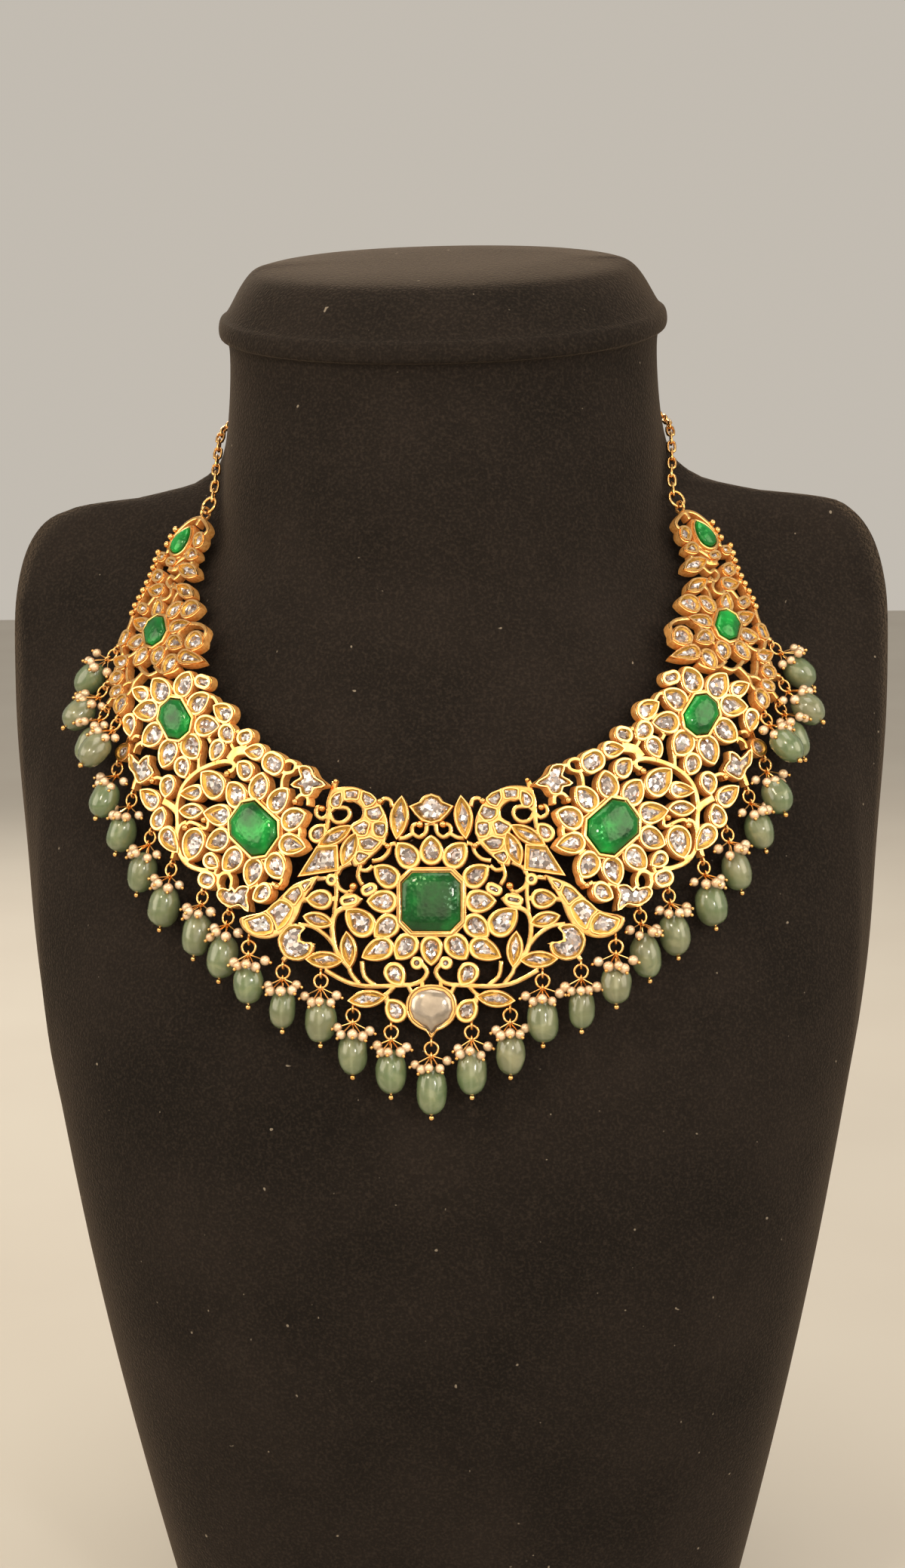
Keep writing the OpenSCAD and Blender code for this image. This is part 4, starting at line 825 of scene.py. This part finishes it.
# The bore shows through as a pale line; the sides are darker where looked at aslant, as painted shade
inside = add_node(tree, "ShaderNodeAttribute", attribute_name="from_bore")
bore = add_node(tree, "ShaderNodeMapRange", {"Value": inside.outputs["Fac"], "From Max": 0.16,
                                             "To Min": 0.12, "To Max": 0.0})
lined = add_node(tree, "ShaderNodeMix", {"Factor": bore.outputs["Result"], "A": body.outputs["Result"],
                                         "B": linear("#B9C4A6")}, data_type="RGBA")
painted_aslant_shade = add_node(tree, "ShaderNodeLayerWeight", {"Blend": 0.4})
shaded = add_node(tree, "ShaderNodeMix", {"Factor": painted_aslant_shade.outputs["Facing"], "A": lined.outputs["Result"],
                                          "B": linear("#4C5E44")}, data_type="RGBA")
tree.links.new(shaded.outputs["Result"], shader.inputs["Base Color"])
shader.inputs["Roughness"].default_value = 0.22
shader.inputs["IOR"].default_value = 1.58
shader.inputs["Subsurface Weight"].default_value = 0.35
shader.inputs["Subsurface Radius"].default_value = (0.8, 1.0, 0.8)
shader.inputs["Subsurface Scale"].default_value = 0.002
shader.inputs["Coat Weight"].default_value = 0.5
shader.inputs["Coat Roughness"].default_value = 0.06

# Drops on each plate, from the middle outwards: x and y of the loop, the bead's width and length,
# its lean outwards and its lift off the plate. One more hangs in the middle.
DROPS = {
    "centre": [(8.6, -26.3, 6.4, 10.6, 0, 0), (16.8, -22.7, 6.2, 10, 0, 0), (23.7, -15.4, 6.8, 10.6, 0, 0),
               (31.9, -13.4, 5.6, 9.6, 0, 0), (39.3, -8.2, 6.4, 9.6, 0, 0)],
    "side": [(3.6, -18.2, 6.6, 10.8, 0, 0), (11.3, -14.5, 6.6, 10.4, 0, 0), (20.9, -9.2, 7, 10.4, 3, 0),
             (28, -2.6, 6.4, 10, 6, 0), (34.8, 5.4, 6.4, 9.6, 10, 0), (40.4, 12.2, 6.4, 9.6, 4, 20)],
    "upper": [(2, -21.8, 6.2, 9.8, 5, 20), (7.2, -19.6, 5.8, 9.6, 10, -6), (10.7, -14.2, 6.4, 9.4, 16, 20),
              (12.2, -5, 6.4, 9.4, 32, 0)],
}
DROP_MIDDLE = (0, -29.8, 6.4, 11.4, 0, 0)
# The loop's depth, the radii of the jump ring, the pin's loop and the pin, and the room over a bead
LOOP_DEEP, RING_R, PIN_LOOP_R, PIN_R, BEAD_ROOM = -0.7, 1.45, 0.75, 0.22, 0.1
PIN_LOOP_Y = -2 * RING_R
BEAD_TOP_Y = PIN_LOOP_Y - PIN_LOOP_R - PIN_R - BEAD_ROOM
# The oval's length as a share of the drop's, its radius as a share of the drop's width, and how full
# its shoulders are: 2 is an ellipse
BEAD_SHARE, BEAD_R_SHARE, BEAD_FULL = 0.9, 0.51, 2.25
# Size and height of the lumps that tumbling leaves, in metres
LUMP_SIZE, LUMP_HIGH = 0.004, 0.0006

drops = [("bead_centre", "centre", DROP_MIDDLE, 1)]
number = 0
for plate, rows in DROPS.items():
    for row in rows:
        number += 1
        drops.append(("bead_right_%02d" % number, plate, row, 1))
        drops.append(("bead_left_%02d" % number, plate, row, -1))


def hang_place(plate, row, side):
    """Where a drop hangs: from its loop, with its lean."""
    x, y, lean_out = row[0], row[1], row[4]
    place = (PLACES[plate] @ Matrix.Translation((x, y, LOOP_DEEP))
             @ Matrix.Rotation(math.radians(lean_out), 4, "Z"))
    return MIRROR_X @ place if side < 0 else place


def swung(lift):
    """The swing of a pin about its own loop."""
    knee = Matrix.Translation((0, PIN_LOOP_Y, 0))
    return knee @ Matrix.Rotation(math.radians(-lift), 4, "X") @ knee.inverted()


lumps = bpy.data.textures.new("tumbled_lumps", "CLOUDS")
lumps.noise_scale = LUMP_SIZE
for node, plate, row, side in drops:
    wide, length, lift = row[2], row[3], row[5]
    bead = ball(1, (0, 0, 0), 28, 18)
    bead.name = "beryl_" + node
    bead.data.name = bead.name
    from_bore = bead.data.attributes.new("from_bore", "FLOAT", "POINT")
    for vertex in bead.data.vertices:
        x, y, z = vertex.co
        round_share = math.hypot(x, y)
        full = (1 - min(abs(z), 1) ** BEAD_FULL) ** (1 / BEAD_FULL)
        if round_share > 0.01:
            x, y = x / round_share * full, y / round_share * full
        vertex.co = (x * wide * BEAD_R_SHARE, z * length * BEAD_SHARE / 2, y * wide * BEAD_R_SHARE)
        from_bore.data[vertex.index].value = abs(x)
    bead.data.flip_normals()
    bead.data.transform(Matrix.Translation((0, BEAD_TOP_Y - length * (1 - BEAD_SHARE / 2), 0)))
    bead.data.transform(hang_place(plate, row, side) @ swung(lift))
    if side < 0:
        bead.data.flip_normals()
    finish_with(bead, "DISPLACE", texture=lumps, texture_coords="LOCAL", strength=LUMP_HIGH,
                mid_level=0.5)
    bpy.ops.object.shade_smooth()
    declare(bead, "bead_stone", beryl, node)

# The pins and rings are shown as the CAD has them
for node in ("drop_pins", "drop_rings", "end_rings"):
    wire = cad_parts[node]
    wire.data.materials.clear()
    wire.data.materials.append(gold)


# The pearls: small seed pearls hang in a bunch round the top of each bead, each on a thin gold wire
# with a ball at its end that keeps the pearl on.
pearl_lustre, tree, shader, place = new_material("seed_pearl")
skin = add_node(tree, "ShaderNodeTexNoise", {"Vector": place, "Scale": 260.0, "Detail": 3.0})
skin_tone = add_node(tree, "ShaderNodeValToRGB", {"Fac": skin.outputs["Fac"]})
set_stops(skin_tone, [(0.35, "#E2BE94"), (0.65, "#F4DCBC")])
# The pearl's colour is darker towards its rim, where it is looked at aslant: painted shade
painted_aslant_shade = add_node(tree, "ShaderNodeLayerWeight", {"Blend": 0.35})
lustre = add_node(tree, "ShaderNodeMix", {"Factor": painted_aslant_shade.outputs["Facing"],
                                          "A": skin_tone.outputs["Color"],
                                          "B": linear("#8A5A30")}, data_type="RGBA")
tree.links.new(lustre.outputs["Result"], shader.inputs["Base Color"])
shader.inputs["Metallic"].default_value = 0.3
shader.inputs["Roughness"].default_value = 0.3
shader.inputs["IOR"].default_value = 1.53
shader.inputs["Coat Weight"].default_value = 1.0
shader.inputs["Coat Roughness"].default_value = 0.1

# Pearls of one bunch, from its loop: across, down and out
BUNCH = [(-3.3, -4.4, 0.8), (-2, -5.6, 2.7), (0.1, -5.3, 3.6), (2, -5.8, 2.8), (3.3, -4.3, 0.9)]
PEARL_R = 1.12
# How far a pearl strays each way, its least and greatest size, the radii of the wire's ball and of the
# wire, and the ball's middle over the pearl
STRAY, SMALLEST, LARGEST = 0.45, 0.88, 1.06
TIP_R, WIRE_R, TIP_OUT = 0.42, 0.15, 0.25
RING_FOOT = Vector((0, PIN_LOOP_Y, 0))
draw = random.Random(7)
pearls, pearl_wires = [], []
for node, plate, row, side in drops:
    hang = hang_place(plate, row, side)
    made = []
    for spot in BUNCH:
        centre = Vector(spot) + Vector([draw.uniform(-STRAY, STRAY) for _ in range(3)])
        way = (centre - RING_FOOT).normalized()
        radius = PEARL_R * draw.uniform(SMALLEST, LARGEST)
        pearl = ball(radius, centre, 12, 8)
        tip = ball(TIP_R, centre + way * (radius + TIP_OUT), 8, 5)
        length = (centre - RING_FOOT).length
        bpy.ops.object.select_all(action="DESELECT")
        bpy.ops.mesh.primitive_cylinder_add(vertices=6, radius=WIRE_R, depth=length)
        wire = bpy.context.active_object
        wire.data.transform(Matrix.Translation(RING_FOOT + way * length / 2)
                            @ way.to_track_quat("Z", "Y").to_matrix().to_4x4())
        pearls.append(pearl)
        pearl_wires += [tip, wire]
        made += [pearl, tip, wire]
    for piece in made:
        piece.data.transform(hang)
        if side < 0:
            piece.data.flip_normals()

pearl_piece = join(pearls, "seed_pearls")
bpy.ops.object.shade_smooth()
declare(pearl_piece, "bead_stone", pearl_lustre)
wire_piece = join(pearl_wires, "pearl_wires")
bpy.ops.object.shade_smooth_by_angle(angle=math.radians(50))
declare(wire_piece, "gold", gold)


# The chain: fine oval links of round gold wire, each soldered shut and turned a quarter from the
# last, from the plates' end rings round the neck to a plain clasp at the back.

# The first link's middle, where it hangs in the end ring, then the way round the neck, and the last
# link's middle, where it meets the clasp
ROUTE = [(53.4, 0.1, 284.7), (53.2, 2.2, 287.6), (53.4, 7.4, 293), (53.1, 14, 299), (51.4, 23.1, 301.5),
         (48.1, 31.5, 302.5), (43, 38.8, 303), (33, 47, 303.5), (22, 52, 304), (10.9, 54.7, 304),
         (6.4, 55.4, 304)]
# Pitch of the links, the wire's radius, half a link's width, and steps between the route's points
LINK_PITCH, LINK_WIRE, LINK_WIDE, ROUTE_STEPS = 2.6, 0.36, 1.2, 20


def along_route(points, pitch):
    """Places about a pitch apart on the smooth curve through the route's points, with its direction."""
    fine = []
    for k in range(len(points) - 1):
        a, b, c, d = (Vector(points[min(max(k + j, 0), len(points) - 1)]) for j in (-1, 0, 1, 2))
        for s in range(ROUTE_STEPS):
            t = s / ROUTE_STEPS
            fine.append(0.5 * (2 * b + (c - a) * t + (2 * a - 5 * b + 4 * c - d) * t * t
                               + (3 * b - a - 3 * c + d) * t ** 3))
    fine.append(Vector(points[-1]))
    far = [0.0]
    for a, b in zip(fine, fine[1:]):
        far.append(far[-1] + (b - a).length)
    count = round(far[-1] / pitch)
    found = []
    for k in range(count + 1):
        target = far[-1] * k / count
        after = max(1, next((n for n, gone in enumerate(far) if gone >= target), len(far) - 1))
        a, b = fine[after - 1], fine[after]
        found.append((a.lerp(b, (target - far[after - 1]) / (b - a).length), (b - a).normalized()))
    return found


bpy.ops.object.select_all(action="DESELECT")
bpy.ops.mesh.primitive_torus_add(major_segments=12, minor_segments=6, major_radius=LINK_WIDE - LINK_WIRE,
                                 minor_radius=LINK_WIRE)
pattern_link = bpy.context.active_object
half_straight = (LINK_PITCH - 2 * (LINK_WIDE - LINK_WIRE)) / 2 + LINK_WIRE
for vertex in pattern_link.data.vertices:
    vertex.co.x += math.copysign(half_straight, vertex.co.x) if abs(vertex.co.x) > 1e-4 else 0
links = []
for number, (spot, way) in enumerate(along_route(ROUTE, LINK_PITCH)):
    side_way = way.cross(Vector((0, 0, 1))).normalized()
    over = side_way.cross(way)
    stand = Matrix((way, side_way, over)).transposed().to_4x4()
    roll = Matrix.Rotation(math.radians(90 * (number % 2) + 90), 4, "X")
    link = bpy.data.objects.new("link", pattern_link.data.copy())
    bpy.context.scene.collection.objects.link(link)
    link.data.transform(Matrix.Scale(0.001, 4) @ Matrix.Translation(spot) @ stand @ roll)
    links.append(link)
bpy.data.objects.remove(pattern_link)
chain = join(links, "gold_chain_right")
take(chain)
bpy.ops.object.shade_smooth()
left_chain = bpy.data.objects.new("gold_chain_left", chain.data.copy())
bpy.context.scene.collection.objects.link(left_chain)
left_chain.data.transform(MIRROR_X)
left_chain.data.flip_normals()
declare(chain, "gold", gold, "chain_right")
declare(left_chain, "gold", gold, "chain_left")

# The clasp keeps the CAD's plain form, with its edges filed round
CLASP_ROUND = 0.0003
clasp = copy_of("clasp", "gold_clasp")
merge(clasp, apart=2e-6, flat=1)
finish_with(clasp, "BEVEL", width=CLASP_ROUND, segments=3, limit_method="ANGLE",
            angle_limit=math.radians(40))
bpy.ops.object.shade_smooth_by_angle(angle=math.radians(40))
declare(clasp, "gold", gold, "clasp")
